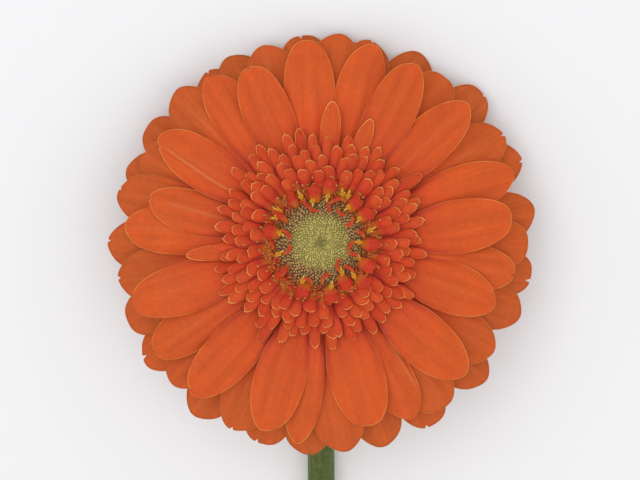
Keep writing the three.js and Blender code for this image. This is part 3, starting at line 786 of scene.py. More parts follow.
def bract_finish(name, green, dark, tip):
    """Green scales of the cup: matt, downy, ribbed lengthwise, with dark tips and paler edges."""
    finish, tree = new_finish(name)
    rim_at, along, _ = add(tree, "ShaderNodeSeparateXYZ",
                           {0: add(tree, "ShaderNodeAttribute", give=1, attribute_name="looks")}, give=None)
    ribs = streaks(tree, add(tree, "ShaderNodeAttribute", give=1, attribute_name="petal"), 0.5, 5, 3.0)
    share = add(tree, "ShaderNodeMath",
                {0: add(tree, "ShaderNodeAttribute", give=2, attribute_name="tone"), 1: 0.35, 2: ribs},
                operation="MULTIPLY_ADD")
    colour = add(tree, "ShaderNodeMix",
                 {0: add(tree, "ShaderNodeMapRange", {0: share, 1: 0.45, 2: 0.95}), 6: dark, 7: green},
                 give=2, data_type="RGBA")
    colour = add(tree, "ShaderNodeMix",
                 {0: add(tree, "ShaderNodeMapRange", {0: along, 1: 0.72, 2: 0.98, 4: 0.8},
                         interpolation_type="SMOOTHSTEP"), 6: colour, 7: tip}, give=2, data_type="RGBA")
    colour = add(tree, "ShaderNodeMix",
                 {0: add(tree, "ShaderNodeMapRange", {0: rim_at, 1: 0.05, 2: 0.3, 3: 0.35, 4: 0.0}),
                  6: colour, 7: linear(BRACT_EDGE)}, give=2, data_type="RGBA")
    end_finish(tree, colour, 0.62, ribs, 0.12, specular=0.35, sheen=0.2)
    return finish


def plain_finish(name, colour, second, grain_mm, roughness, depth, sheen=0.0):
    """A surface with one grain: its colour drifts between two, and its grain stands a little proud."""
    finish, tree = new_finish(name)
    grain = grains(tree, grain_mm, 3.0)
    mixed = add(tree, "ShaderNodeMix",
                {0: add(tree, "ShaderNodeMapRange", {0: grain, 1: 0.35, 2: 0.65}), 6: colour, 7: second},
                give=2, data_type="RGBA")
    end_finish(tree, mixed, roughness, grain, depth, sheen=sheen)
    return finish


# ---- What a user would change ----
def length(label, text, millimetres):
    """A length property with its default in millimetres."""
    return FloatProperty(name=label, description=text, default=millimetres * MM, unit="LENGTH", precision=5)


def tint(label, text, code):
    """A colour property with its default as sRGB hex."""
    return FloatVectorProperty(name=label, description=text, default=linear(code), subtype="COLOR", size=3,
                               min=0, max=1)


class GerberaSizes(bpy.types.PropertyGroup):
    """Sizes and numbers of the flower's finer parts."""

    petal_thickness: length("Petal thickness", "How thick a ray is in its middle", 0.35)
    groove_depth: length("Groove depth", "How deep the two grooves along a ray are", 0.14)
    edge_wave: length("Edge wave", "How far a ray's edges wave up and down", 0.3)
    ligules: IntProperty(name="Ligules", description="How many short ligules stand round the disc",
                         default=142)
    ligule_width: length("Ligule width", "How wide a short ligule is", 3.4)
    buds: IntProperty(name="Buds", description="How many closed buds cover the disc", default=1200)
    bud_width: length("Bud width", "How wide a bud is at the disc's edge", 0.78)
    hair_length: length("Hair length", "How long the stem's hairs are", 0.7)
    hair_density: FloatProperty(name="Hair density", description="Hairs on a square metre of stem",
                                default=420000.0)


class GerberaColours(bpy.types.PropertyGroup):
    """Colours of the flower."""

    ray_foot: tint("Ray foot", "Rays by the collar", "#cf461e")
    ray_deep: tint("Deep ray foot", "Rear rays by the collar", "#e83a2a")
    ray_far: tint("Ray", "Front rays at their tips", "#d35822")
    ray_rear: tint("Rear ray", "Rays that lie behind", "#c65e28")
    ray_rim: tint("Ray edge", "The thin line round a ray", "#efab58")
    ray_under: tint("Ray underside", "The back of a ray", "#d27a48")
    floret_foot: tint("Floret foot", "Inner florets at their foot", "#c22b22")
    floret_far: tint("Floret", "Inner florets at their tip", "#d15023")
    floret_deep: tint("Deep floret", "The reddest of the inner florets", "#c8401c")
    floret_rim: tint("Floret edge", "The pale line at a ligule's tip", "#ffbe65")
    lip: tint("Open floret", "Lips and tongues of the open florets", "#c43a1f")
    disc_green: tint("Disc green", "Buds in the middle of the disc", "#c1b368")
    disc_green_gap: tint("Disc green gap", "Between the green buds", "#928643")
    disc_brown: tint("Disc brown", "Tips of the brown buds", "#bb9c5e")
    disc_brown_gap: tint("Disc brown gap", "Between the brown buds", "#7c4e42")
    disc_rust: tint("Disc edge", "Buds at the disc's edge", "#b8622a")
    pollen: tint("Pollen", "Foot of an anther tube", "#cd8806")
    pollen_tip: tint("Pollen tip", "End of an anther tube", "#f4cb68")
    style: tint("Style", "Ends of the styles", "#db9d52")
    stem: tint("Stem", "Ribs of the stem", "#5f6e2f")
    stem_dark: tint("Stem dark", "Between the stem's ribs", "#45531f")
    stem_base: tint("Stem base", "The stem towards its cut", "#6e5a3a")
    bract: tint("Bract", "Scales of the cup", "#69793c")
    bract_dark: tint("Bract dark", "Between the ribs of the scales", "#48562c")
    bract_tip: tint("Bract tip", "Tips of the scales", "#55402c")
    pith: tint("Pith", "The middle of the cut", "#c6cb9c")
    floor: tint("Floor", "The floor under the flower", "#f3f3f5")


# ---- The stage ----
CAMERA_DISTANCE = 0.75
CAMERA_LENS = 161.0
PHOTO_WIDTH = 640
PHOTO_CENTRE = (0.5, 2.5)  # pixels that the bloom's middle lies right of and below the photograph's
FLOOR_REACH = 3.0
FLOOR_HEIGHT = -0.00005
DAYLIGHT = 0.74
# Soft round lamps: name, place from the bloom, power, width.
LAMPS = (("key", (-0.35, 0.45, 1.25), 5.4, 1.2), ("fill", (0.6, -0.5, 1.1), 2.2, 1.5))


class GERBERA_OT_stage(bpy.types.Operator):
    """Lay the pale floor, hang the soft lights and set the camera square to the bloom."""

    bl_idname = "gerbera.stage"
    bl_label = "Floor, lights and camera"

    def execute(self, context):
        scene = context.scene
        centre = BLOOM.to_translation()
        axis = (BLOOM.to_3x3() @ Vector((0, 0, 1))).normalized()
        data = bpy.data.cameras.new("camera")
        data.lens = CAMERA_LENS
        data.sensor_width = 36
        data.clip_start, data.clip_end = 0.05, 20
        data.shift_x = -PHOTO_CENTRE[0] / PHOTO_WIDTH
        data.shift_y = PHOTO_CENTRE[1] / PHOTO_WIDTH
        camera = bpy.data.objects.new("camera", data)
        camera.matrix_world = Matrix.Translation(centre + axis * CAMERA_DISTANCE) @ BLOOM.to_3x3().to_4x4()
        scene.collection.objects.link(camera)
        scene.camera = camera

        corners = [(x * FLOOR_REACH, y * FLOOR_REACH, FLOOR_HEIGHT)
                   for x, y in ((-1, -1), (1, -1), (1, 1), (-1, 1))]
        mesh = bpy.data.meshes.new("floor")
        mesh.from_pydata(corners, [], [(0, 1, 2, 3)])
        colour = scene.gerbera_colours.floor
        mesh.materials.append(plain_finish("matt painted board", colour, colour, 4, 0.9, 0.001))
        floor = bpy.data.objects.new("floor", mesh)
        scene.collection.objects.link(floor)

        world = bpy.data.worlds.new("studio")
        world.use_nodes = True
        sky = world.node_tree.nodes["Background"]
        sky.inputs["Color"].default_value = (1, 1, 1, 1)
        sky.inputs["Strength"].default_value = DAYLIGHT
        scene.world = world
        for name, place, power, size in LAMPS:
            light = bpy.data.lights.new(name, "AREA")
            light.shape, light.size, light.energy = "DISK", size, power
            lamp = bpy.data.objects.new(name, light)
            lamp.location = centre + Vector(place)
            lamp.rotation_euler = (-Vector(place)).to_track_quat("-Z", "Y").to_euler()
            scene.collection.objects.link(lamp)
        scene.view_settings.view_transform = "Standard"
        return {"FINISHED"}


# ---- The stem ----
def stem_sway(share):
    """The lying stem's sideways place, a share of the way from the neck to the cut."""
    return STEM_SWAY * (1 - math.cos(1.3 * math.pi * share**1.5)) / 2


def stem_path(bend_rings, lie_rings):
    """The stem's middle, its upward and sideways directions and its radius, from the cup to the cut."""
    rings = []
    for step in range(bend_rings + 1):
        share = step / bend_rings
        pitch = (math.pi / 2 - TILT) * (1 - share)
        middle = (0, NECK_BEND_END_Y + NECK_BEND_RADIUS * math.sin(pitch),
                  STEM_HEIGHT + NECK_BEND_RADIUS * (1 - math.cos(pitch)))
        rings.append((middle, pitch, 0, NECK_RADIUS + (STEM_RADIUS - NECK_RADIUS) * share))
    flat = math.cos(math.pi / STEM_SIDES)
    for step in range(1, lie_rings + 1):
        share = step / lie_rings
        radius = STEM_RADIUS + (STEM_END_RADIUS - STEM_RADIUS) * share
        slope = (stem_sway(share + 0.001) - stem_sway(share - 0.001)) / (0.002 * STEM_LIE)
        middle = (stem_sway(share), NECK_BEND_END_Y - share * STEM_LIE, radius * flat)
        rings.append((middle, 0, math.atan(slope), radius))
    return rings


# The rings of the cut face from its edge inward: share of the stem's radius, and how far it is sunk.
CUT_RINGS = ((0.97, -0.12), (0.9, 0.05), (0.8, 0.12), (0.62, 0.05), (0.42, 0.1), (0.25, 0.35), (0.12, 0.7))
INTO_CUP = 0.9  # how far the stem's first ring stands in the cup
TWIST_LENGTH = 160  # the length of stem in which its ribs turn by one radian
CUT_FACE = 1  # the number of the cut's material on the stem
CUT_FROM = 300  # the way along the stem beyond which a face that reaches the cut's rings belongs to it
HAIR_RADIUS = 0.025 * MM


def stem_part(sides=96, ribs=15):
    """The stem with its fine ribs, and the rings of its slanted cut face inside the last ring. It keeps
    skin: the way round and along the stem, or on the cut face the share of its radius and a 1."""
    rings = stem_path(24, 150)
    into_cup = np.array([0, math.sin(TILT), math.cos(TILT)])
    first = rings[0]
    rings.insert(0, (tuple(np.array(first[0]) + into_cup * INTO_CUP), first[1], 0, first[3] * 0.98))
    flat = math.cos(math.pi / STEM_SIDES)
    angle = np.arange(sides) * 2 * math.pi / sides
    points, skin, gone = [], [], 0.0
    for step, (middle, pitch, heading, radius) in enumerate(rings):
        if step:
            gone += math.dist(middle, rings[step - 1][0])
        twist = gone / TWIST_LENGTH
        rib = 0.5 + 0.5 * np.cos(ribs * (angle + twist)) + 0.25 * np.cos((ribs * 2 + 5) * angle + 2)
        uneven = 0.5 + 0.5 * math.sin(gone / 23) * math.sin(gone / 9 + 1)
        reach = radius * flat * (0.998 - 0.022 * (1 - np.clip(rib, 0, 1)) - 0.012 * uneven)
        side = np.array([math.cos(heading), math.sin(heading), 0])
        over = np.array([0, -math.sin(pitch), math.cos(pitch)])
        ring = np.array(middle) + np.outer(np.cos(angle) * reach, side)
        ring = ring + np.outer(np.sin(angle) * reach, over)
        if step == len(rings) - 1:
            ring[:, 1] += np.sin(angle) * reach * math.tan(CUT_SLANT)
        points.append(ring)
        skin.append(np.stack([angle * radius, np.full(sides, gone), np.zeros(sides)], 1))
    outer = points[-1]
    centre = outer.mean(0)
    inward = np.array([0, 1.0, 0])
    for share, sink in CUT_RINGS:
        points.append(centre + (outer - centre) * share + inward * sink)
        skin.append(np.stack([angle * 0, np.full(sides, share), np.full(sides, 1.0)], 1))
    number = np.arange(len(points) * sides).reshape(len(points), sides)
    beside = np.roll(number, -1, axis=1)
    quads = np.stack([number[:-1], number[1:], beside[1:], beside[:-1]], -1).reshape(-1, 4).tolist()
    caps = [number[0].tolist(), number[-1, ::-1].tolist()]
    return np.concatenate(points), quads + caps, {"skin": np.concatenate(skin)}


def cut_finish(name, pith, rind):
    """Freshly cut stalk: wet and spongy, pale pith with darker strands near the green rind."""
    finish, tree = new_finish(name)
    here = add(tree, "ShaderNodeTexCoord", give=3)
    share = add(tree, "ShaderNodeSeparateXYZ",
                {0: add(tree, "ShaderNodeAttribute", give=1, attribute_name="skin")}, give=1)
    foam = add(tree, "ShaderNodeTexVoronoi", {"Vector": here, "Scale": 1 / (0.45 * MM)})
    strands = add(tree, "ShaderNodeTexVoronoi", {"Vector": here, "Scale": 1 / (1.3 * MM)})
    dots = add(tree, "ShaderNodeMapRange", {0: strands, 1: 0.15, 2: 0.35, 3: 0.7, 4: 0.0})
    dots = add(tree, "ShaderNodeMath",
               {0: dots, 1: add(tree, "ShaderNodeMapRange", {0: share, 1: 0.6, 2: 0.85})},
               operation="MULTIPLY")
    green = add(tree, "ShaderNodeMath",
                {0: dots,
                 1: add(tree, "ShaderNodeMapRange", {0: share, 1: 0.86, 2: 0.96},
                        interpolation_type="SMOOTHSTEP")}, operation="MAXIMUM")
    end_finish(tree, add(tree, "ShaderNodeMix", {0: green, 6: pith, 7: rind}, give=2, data_type="RGBA"), 0.35,
               foam, 0.15, specular=0.5, subsurface=0.1)
    return finish


class GERBERA_OT_stem(bpy.types.Operator):
    """Build the ribbed stem with its slanted cut and its short hairs."""

    bl_idname = "gerbera.stem"
    bl_label = "Stem"

    def execute(self, context):
        colours, sizes = context.scene.gerbera_colours, context.scene.gerbera_sizes
        skin = stalk_finish("fresh green stalk", colours.stem, colours.stem_dark, colours.stem_base, 0.1)
        cut = cut_finish("freshly cut stalk", colours.pith, colours.stem_dark)
        mesh = new_mesh("stem_stalk", stem_part(), skin, cut)
        kept = mesh.attributes["skin"].data
        for face in mesh.polygons:
            facts = [kept[i].vector for i in face.vertices]
            if any(on_cut > 0.5 for _, _, on_cut in facts) and \
                    all(on_cut > 0.5 or gone > CUT_FROM for _, gone, on_cut in facts):
                face.material_index = CUT_FACE
        stalk = new_piece("stem_stalk", mesh, ["stem"], STEM)
        down = plain_finish("silvery plant hairs", linear("#b9bf98"), linear("#8f9868"), 3, 0.6, 0.001, 0.2)
        hairs = grown("stem_hairs", hair_tree(), stalk.data.copy(), Density=sizes.hair_density,
                      Hair_Length=sizes.hair_length, Hair_Radius=HAIR_RADIUS, Lean=0.7, Lowest_Normal=-0.7,
                      Bare_Material=CUT_FACE, Seed=3, Material=down)
        new_piece("stem_hairs", hairs)
        return {"FINISHED"}


# ---- The cup ----
CUP_PROFILE = (
    (0.05, -14.9), (2.5, -14.95), (4.1, -14.9), (4.9, -14.2), (5.6, -13.4), (7, -12.5), (8.4, -11.4),
    (10, -10.1), (11.3, -8.8), (12.3, -7.8), (13, -6.8), (13.3, -6), (13.4, -5.4), (9.6, -5.4),
    (9.6, -0.6), (0.05, -0.6),
)
# Rows of bracts: root and tip as radius and height, hump, width.
BRACT_ROWS = (
    ("upper", (6.6, -10.6), (17, -6.9), -0.9, 3.4),
    ("middle", (5.4, -12), (14.6, -8.5), -1.2, 2.8),
    ("lower", (4.2, -13.4), (11.6, -10.9), -1.0, 2.2),
)
BRACTS_PER_ROW = 21
BRACT_HAIR_DENSITY = 900000.0  # hairs on a square metre


class GERBERA_OT_cup(bpy.types.Operator):
    """Build the green cup under the bloom with its three rows of bracts."""

    bl_idname = "gerbera.cup"
    bl_label = "Cup of bracts"

    def execute(self, context):
        colours = context.scene.gerbera_colours
        green = plain_finish("green receptacle", colours.bract, colours.bract_dark, 1.2, 0.6, 0.08, 0.1)
        new_piece("cup", new_mesh("cup", lathe(CUP_PROFILE[::-1]), green), ["involucre"], BLOOM)
        scale = bract_finish("downy green bract", colours.bract, colours.bract_dark, colours.bract_tip)
        down = plain_finish("white bract down", linear("#c3c8a8"), linear("#9aa478"), 3, 0.6, 0.001, 0.2)
        hairs = hair_tree()
        for row, (name, root, tip, hump, width) in enumerate(BRACT_ROWS):
            long = math.dist(root, tip)
            kinds = [blade((0, 0), (long, 0), width, hump=hump + 0.15 * kind, camber=0.5, fullest=0.42,
                           claw=0.6, thickness=0.5, columns=9, rows=10, curl=0.5 * (kind - 1), number=kind)
                     for kind in range(3)]
            grown_row = whorl(f"bracts_{name}", kinds, scale, Count=BRACTS_PER_ROW,
                              Turn=2 * math.pi / BRACTS_PER_ROW, First_Turn=row * math.pi / BRACTS_PER_ROW,
                              Near_Root=spot(*root), Far_Root=spot(*root), Near_Tip=spot(*tip),
                              Far_Tip=spot(*tip), Blade_Length=long * MM, Reach_Scatter=0.8 * MM,
                              Turn_Scatter=0.06, Roll_Scatter=0.15, Seed=11 + row)
            new_piece(f"bracts_{name}", grown_row, (), BLOOM)
            fuzz = grown(f"bract_hairs_{name}", hairs, grown_row.copy(), Density=BRACT_HAIR_DENSITY,
                         Hair_Length=0.55 * MM, Hair_Radius=HAIR_RADIUS, Lean=0.9, Seed=21 + row,
                         Material=down)
            new_piece(f"bract_hairs_{name}", fuzz)
        return {"FINISHED"}


# ---- The rays ----
LIT_THROUGH = (0.0, 0.18, 0.5, 0.3)  # how much light the rays of each row get through those before them
ROW_TONES = (0.0, 0.1, 0.6, 0.85)  # how far each row lies behind, for its colours
FLOOR_GAP = 0.03  # how far above the floor the lowest points of a resting ray stay
RESTING_THICKNESS = 0.2  # of a ray where it lies on the floor


def resting_tip(bearing, reach, curl):
    """The height in the bloom's frame at which a ray's tip lies on the floor."""
    turn = math.radians(bearing)
    tip_y = reach * math.cos(turn) - curl * math.sin(turn)
    return -(BLOOM_HEIGHT - RESTING_THICKNESS - tip_y * math.sin(TILT)) / math.cos(TILT)


def laid_on_floor(points):
    """The points of a blade in the bloom's frame, with those below the floor lifted on to it. The first
    half of them are its upper side, which stays above the lower one."""
    up = np.array([0, -math.sin(TILT), math.cos(TILT)])
    lowest = np.full(len(points), FLOOR_GAP)
    lowest[:len(points) // 2] += RESTING_THICKNESS
    rise = np.maximum(lowest - (points @ up + BLOOM_HEIGHT), 0)
    return points + rise[:, None] * up


def nicks_of(row, bearing, reach, width, curl):
    """The nick in a ray's tip as the blade takes it, where the table gives it one."""
    if bearing not in NICKS[row]:
        return ()
    at, depth = NICKS[row][bearing]
    aside = math.radians(at - bearing) * reach - curl
    return ((aside / (width / 2), depth, 0.5),)


def creases_of(row, bearing, i):
    """The soft lines along a ray: two shallow dark grooves, a faint middle line, and the clear pale ridges
    of the table. The darker lines are painted shade and the paler ones a painted highlight."""
    lines = [(side * (0.36 + 0.1 * draw(i, row + 60 + side)), 0.8, -0.07 + 0.12 * draw(i, row + 63 + side),
              0, 1.2) for side in (-1, 1)]
    lines.append((0.2 * draw(i, row + 67), 0.35, 0.1 + 0.24 * draw(i, row + 68), 0, 1.2))
    if bearing in RIDGES[row]:
        lines.append(RIDGES[row][bearing])
    return lines


def ray_row(row, rays, sizes):
    """One row of rays and the ring that they grow from."""
    ring_top = BOSS_TOP_Z - row * (RAY_RING_HEIGHT + GAP)
    ring_low = ring_top - RAY_RING_HEIGHT
    root_z = (ring_top + ring_low) / 2
    parts = []
    for i, ray in enumerate(rays):
        bearing, reach, width = ray if len(ray) == 3 else (*ray, RAY_WIDTH)
        lift = -RAY_LIFT if i % 2 else RAY_LIFT
        length_share = (reach - RAY_ROOT_RADIUS) / (NOMINAL_REACH - RAY_ROOT_RADIUS)
        curl = RAY_CURL * draw(i, row + 5)
        tip_z = root_z + (ROW_TIP_Z[row] - root_z) * length_share**RAY_DROOP + lift
        rests = row == 3 and abs((bearing + 180) % 360 - 180) < REST_BEARING
        if rests:
            tip_z = resting_tip(bearing, reach, curl)
        tone = ROW_TONES[row] + 0.25 * draw(i, row + 50)
        points, faces, facts = blade(
            (RAY_ROOT_RADIUS, root_z), (reach, tip_z), width, bearing, hump=RAY_HUMP + lift, bend=RAY_DROOP,
            curl=curl, bow=0.8 * draw(i, row + 55), roll=RAY_ROLL * draw(i, row), camber=RAY_CAMBER + 0.2,
            fullest=ROW_FULLEST[row], uneven=0.3, columns=29, rows=34,
            thickness=sizes.petal_thickness / MM, nicks=nicks_of(row, bearing, reach, width, curl),
            groove=sizes.groove_depth / MM, creases=creases_of(row, bearing, i),
            wave=sizes.edge_wave / MM, turned_edge=0.3, number=i + 30 * row, tone=min(max(tone, 0), 1),
            lit=LIT_THROUGH[row])
        parts.append((laid_on_floor(points) if rests else points, faces, facts))
    ring, faces, _ = lathe(((RAY_RING_INNER, ring_low), (RAY_RING_OUTER, ring_low),
                            (RAY_RING_OUTER, ring_top), (RAY_RING_INNER, ring_top))[::-1])
    count = len(ring)
    parts.append((ring, faces, {"petal": ring.copy(), "looks": np.tile([9.0, 0, 0], (count, 1)),
                                "crease": np.zeros(count), "tone": np.full(count, 0.8),
                                "lit": np.zeros(count)}))
    return merged(parts)


class GERBERA_OT_rays(bpy.types.Operator):
    """Build the four rows of large ray florets."""

    bl_idname = "gerbera.rays"
    bl_label = "Rays"

    def execute(self, context):
        colours, sizes = context.scene.gerbera_colours, context.scene.gerbera_sizes
        skin = petal_finish("fresh orange ray petal", colours.ray_foot, colours.ray_far, colours.ray_rear,
                            colours.ray_rim, colours.ray_under, 0.05, deep=colours.ray_deep)
        rows = (("first", FIRST_ROW), ("second", SECOND_ROW), ("third", THIRD_ROW), ("fourth", FOURTH_ROW))
        for row, (name, rays) in enumerate(rows):
            mesh = new_mesh(f"petals_{name}_row", ray_row(row, rays, sizes), skin)
            new_piece(f"petals_{name}_row", mesh, [f"rays_{name}_row"], BLOOM)
        return {"FINISHED"}


# ---- The inner florets ----
LIGULE_LENGTH = 9.0
RED_BELOW = 34.0  # the reach below which a long ligule is as red as the short ones
# The outline of the low ring that the ligules' feet merge into.
CORE_PROFILE = ((12.8, 0), (17, 0.5), (17.4, 1.4), (15.6, 2.5), (13.6, 2.9), (12.8, 2.4))


class GERBERA_OT_inner_florets(bpy.types.Operator):
    """Build the dense collar of short ligules and the few long ones that stand out over the rays."""

    bl_idname = "gerbera.inner_florets"
    bl_label = "Inner florets"

    def execute(self, context):
        colours, sizes = context.scene.gerbera_colours, context.scene.gerbera_sizes
        skin = petal_finish("fresh red ligule", colours.floret_foot, colours.floret_far, colours.floret_deep,
                            colours.floret_rim, colours.ray_under, 0.04, rim_width=0.22, rim_from=0.84,
                            rim_weight=0.8, rear_rim=0.9, rear_edge=0.0, side_shade=0.6, side_width=0.7,
                            foot_from=0.3, foot_to=0.8, side_to=1.05, rim_sides=0.12, dusted=0.9)
        kinds = []
        for kind in range(6):
            teeth = ((-0.22, 0.22, 0.2), (0.2, 0.26, 0.2)) if kind % 3 else ((0.05, 0.34, 0.25),)
            part = blade((0, 0), (LIGULE_LENGTH, 0), sizes.ligule_width / MM * (0.96 + 0.2 * draw(kind, 59)),
                         hump=0.9 + 0.4 * draw(kind, 60), camber=0.7, curl=1.2 * draw(kind, 61),
                         bow=0.5 * draw(kind, 62), fullest=0.66 + 0.1 * draw(kind, 63), claw=0.75,
                         point=1.95 + 0.4 * draw(kind, 64), uneven=0.12, thickness=0.3, columns=11, rows=10,
                         nicks=teeth, groove=0.1, number=kind)
            part[2].pop("tone")
            kinds.append(part)
        mesh = whorl("ligules", kinds, skin, Count=sizes.ligules, Turn=GOLDEN_ANGLE, Power=0.92,
                     Near_Root=spot(13.2, 2), Far_Root=spot(14.6, 0.7), Near_Tip=spot(18.6, 5.4),
                     Far_Tip=spot(29.2, 1.3), Near_Size=1.1, Far_Size=1.02, Blade_Length=LIGULE_LENGTH * MM,
                     Reach_Scatter=1.6 * MM, Turn_Scatter=0.08, Roll_Scatter=0.35, Size_Scatter=0.14,
                     Far_Side_Reach=1.2 * MM, Seed=5)
        new_piece("ligules", mesh, ["inner_florets"], BLOOM)
        long_ones = [blade((13.9, 0.8), (reach, 1.3), width, bearing, hump=0.5, camber=0.6, fullest=0.6,
                           claw=0.5, point=1.8 if reach > RED_BELOW else 2.1, columns=13, rows=20,
                           thickness=0.3, nicks=((0.1, 0.3, 0.3),), groove=0.12, number=i,
                           tone=0.1 if reach > RED_BELOW else 0.9)
                     for i, (bearing, reach, width) in enumerate(LONG_FLORETS)]
        skin = petal_finish("fresh long ligule", colours.floret_foot, colours.ray_far, colours.floret_deep,
                            colours.floret_rim, colours.ray_under, 0.04, rim_from=0.6, rim_weight=0.8,
                            rear_rim=1.0)
        new_piece("long_ligules", new_mesh("long_ligules", merged(long_ones), skin), (), BLOOM)
        dusty = plain_finish("floret feet dusted with pollen", linear("#c85a2c"), linear("#c8842c"), 1.0,
                             0.7, 0.1)
        core = new_mesh("collar_foot", lathe(CORE_PROFILE[::-1]), dusty)
        new_piece("collar_foot", core, (), BLOOM)
        return {"FINISHED"}


# ---- The open florets ----
STUBS = 260  # florets that have just begun to open
LOBES = 64  # small red lobes that stand up round the disc's edge
LOBE_LENGTH = 2.0
LIP_REACH = 2.3  # from a lip's root to its middle
TONGUE_REACH = 1.9
ANTHER_REACH = 1.2
STYLE_REACH = 2.6
# The three spikes of an anther tube: turn from its own heading, length, rise, share of its width.
SPIKES = ((0, 2.6, 1.2, 1.9), (22, 1.6, 1.6, 1.2), (-24, 1.4, 0.8, 1.2))


def lip_parts():
    """The broad lips of the open florets."""
    parts = []
    for i, (bearing, middle, width) in enumerate(LIPS):
        lip = blade((0, 0), (4.9, 1.2), width * 1.08, hump=1.2 + 0.4 * draw(i, 69), camber=1.3, fullest=0.5,
                    claw=0.6, point=2.8, uneven=0.5, bend=0.8, thickness=0.35, columns=15, rows=15,
                    nicks=((-0.35 + 0.2 * draw(i, 73), 0.3, 0.3), (0.3 + 0.2 * draw(i, 74), 0.25, 0.3)),
                    groove=0.15, curl=1.4 * draw(i, 70), wave=0.5, number=i, tone=0.3)
        parts.append(set_out(lip, bearing, middle - LIP_REACH, 3.3, bearing + 24 * draw(i, 71)))
    return parts


def tongue_parts():
    """Their thin curled tongues, which reach in over the disc."""
    parts = []
    for i, (bearing, middle, aim) in enumerate(TONGUES):
        side = math.copysign(0.7, draw(i, 72)) + 1.6 * draw(i, 72)
        tongue = blade((0, 0), (3.2 + 1.2 * draw(i, 75), 0.5), 1.3, hump=1.3, camber=0.5, fullest=0.85,
                       claw=0.55, point=2.6, bend=0.7, thickness=0.35, columns=7, rows=17,
                       nicks=((0.1, 0.35, 0.22),), bow=-0.5 * side, curl=side, number=i, tone=0.4)
        step = math.radians(aim)
        root = middle + TONGUE_REACH * math.cos(step)
        aside = math.degrees(math.atan2(TONGUE_REACH * math.sin(step), root))
        parts.append(set_out(tongue, bearing + aside, root, 4.0, bearing + 180 + aim))
    return parts


def anther_parts():
    """The anther tubes, each of three spikes that spread a little."""
    parts = []
    steps = np.linspace(0, 1, 6)
    for i, (bearing, middle, aim) in enumerate(ANTHERS):
        for fan, long, rise, wide in SPIKES:
            path = np.stack([0.3 * draw(i, 77) * np.sin(steps * 3), steps * long,
                             rise * steps + 0.6 * steps * (1 - steps)], 1)
            spike = tube(path, np.array([0.26, 0.3, 0.28, 0.22, 0.14, 0.05]) * wide, sides=7, bumps=0.1)
            parts.append(set_out(spike, bearing, middle + ANTHER_REACH * math.cos(math.radians(aim)), 3.8,
                                 bearing + 180 + aim + fan + 14 * draw(i, 78)))
    return parts


def style_parts():
    """The styles with their round heads, and the hooked lobes between the ligules."""
    parts = []
    steps = np.linspace(0, 1, 8)
    for i, (bearing, radius) in enumerate(STYLES):
        lean = 1.4 * draw(i, 80)
        path = np.stack([lean * steps**2, 2.6 * np.sin(steps * 1.5), 0.6 * steps + 2.4 * steps**2], 1)
        path = np.concatenate([path, path[-1] + [[0, 0.02, 0.18], [0, 0.03, 0.4], [0, 0.03, 0.56]]])
        pole = tube(path, [0.14, 0.13, 0.12, 0.12, 0.12, 0.12, 0.12, 0.16, 0.23, 0.22, 0.09], sides=8)
        parts.append(set_out(pole, bearing, radius - STYLE_REACH, 2.6, bearing))
    turn = np.linspace(0, 4.4, 12)
    wind = 0.55 - 0.07 * turn
    path = np.stack([0.12 * turn, wind * np.sin(turn), 2.6 - wind * np.cos(turn)], 1)
    path = np.concatenate([[[0, 0, 0.2], [0, -0.05, 1.2]], path])
    hook = tube(path, np.linspace(0.22, 0.1, len(path)), sides=6)
    for i in range(HOOKS):
        parts.append(set_out(hook, math.degrees(i * GOLDEN_ANGLE) + 20, 14.6 + 2.4 * (draw(i, 84) + 0.5),
                             2.0 + draw(i, 86), 360 * draw(i, 85)))
    return parts


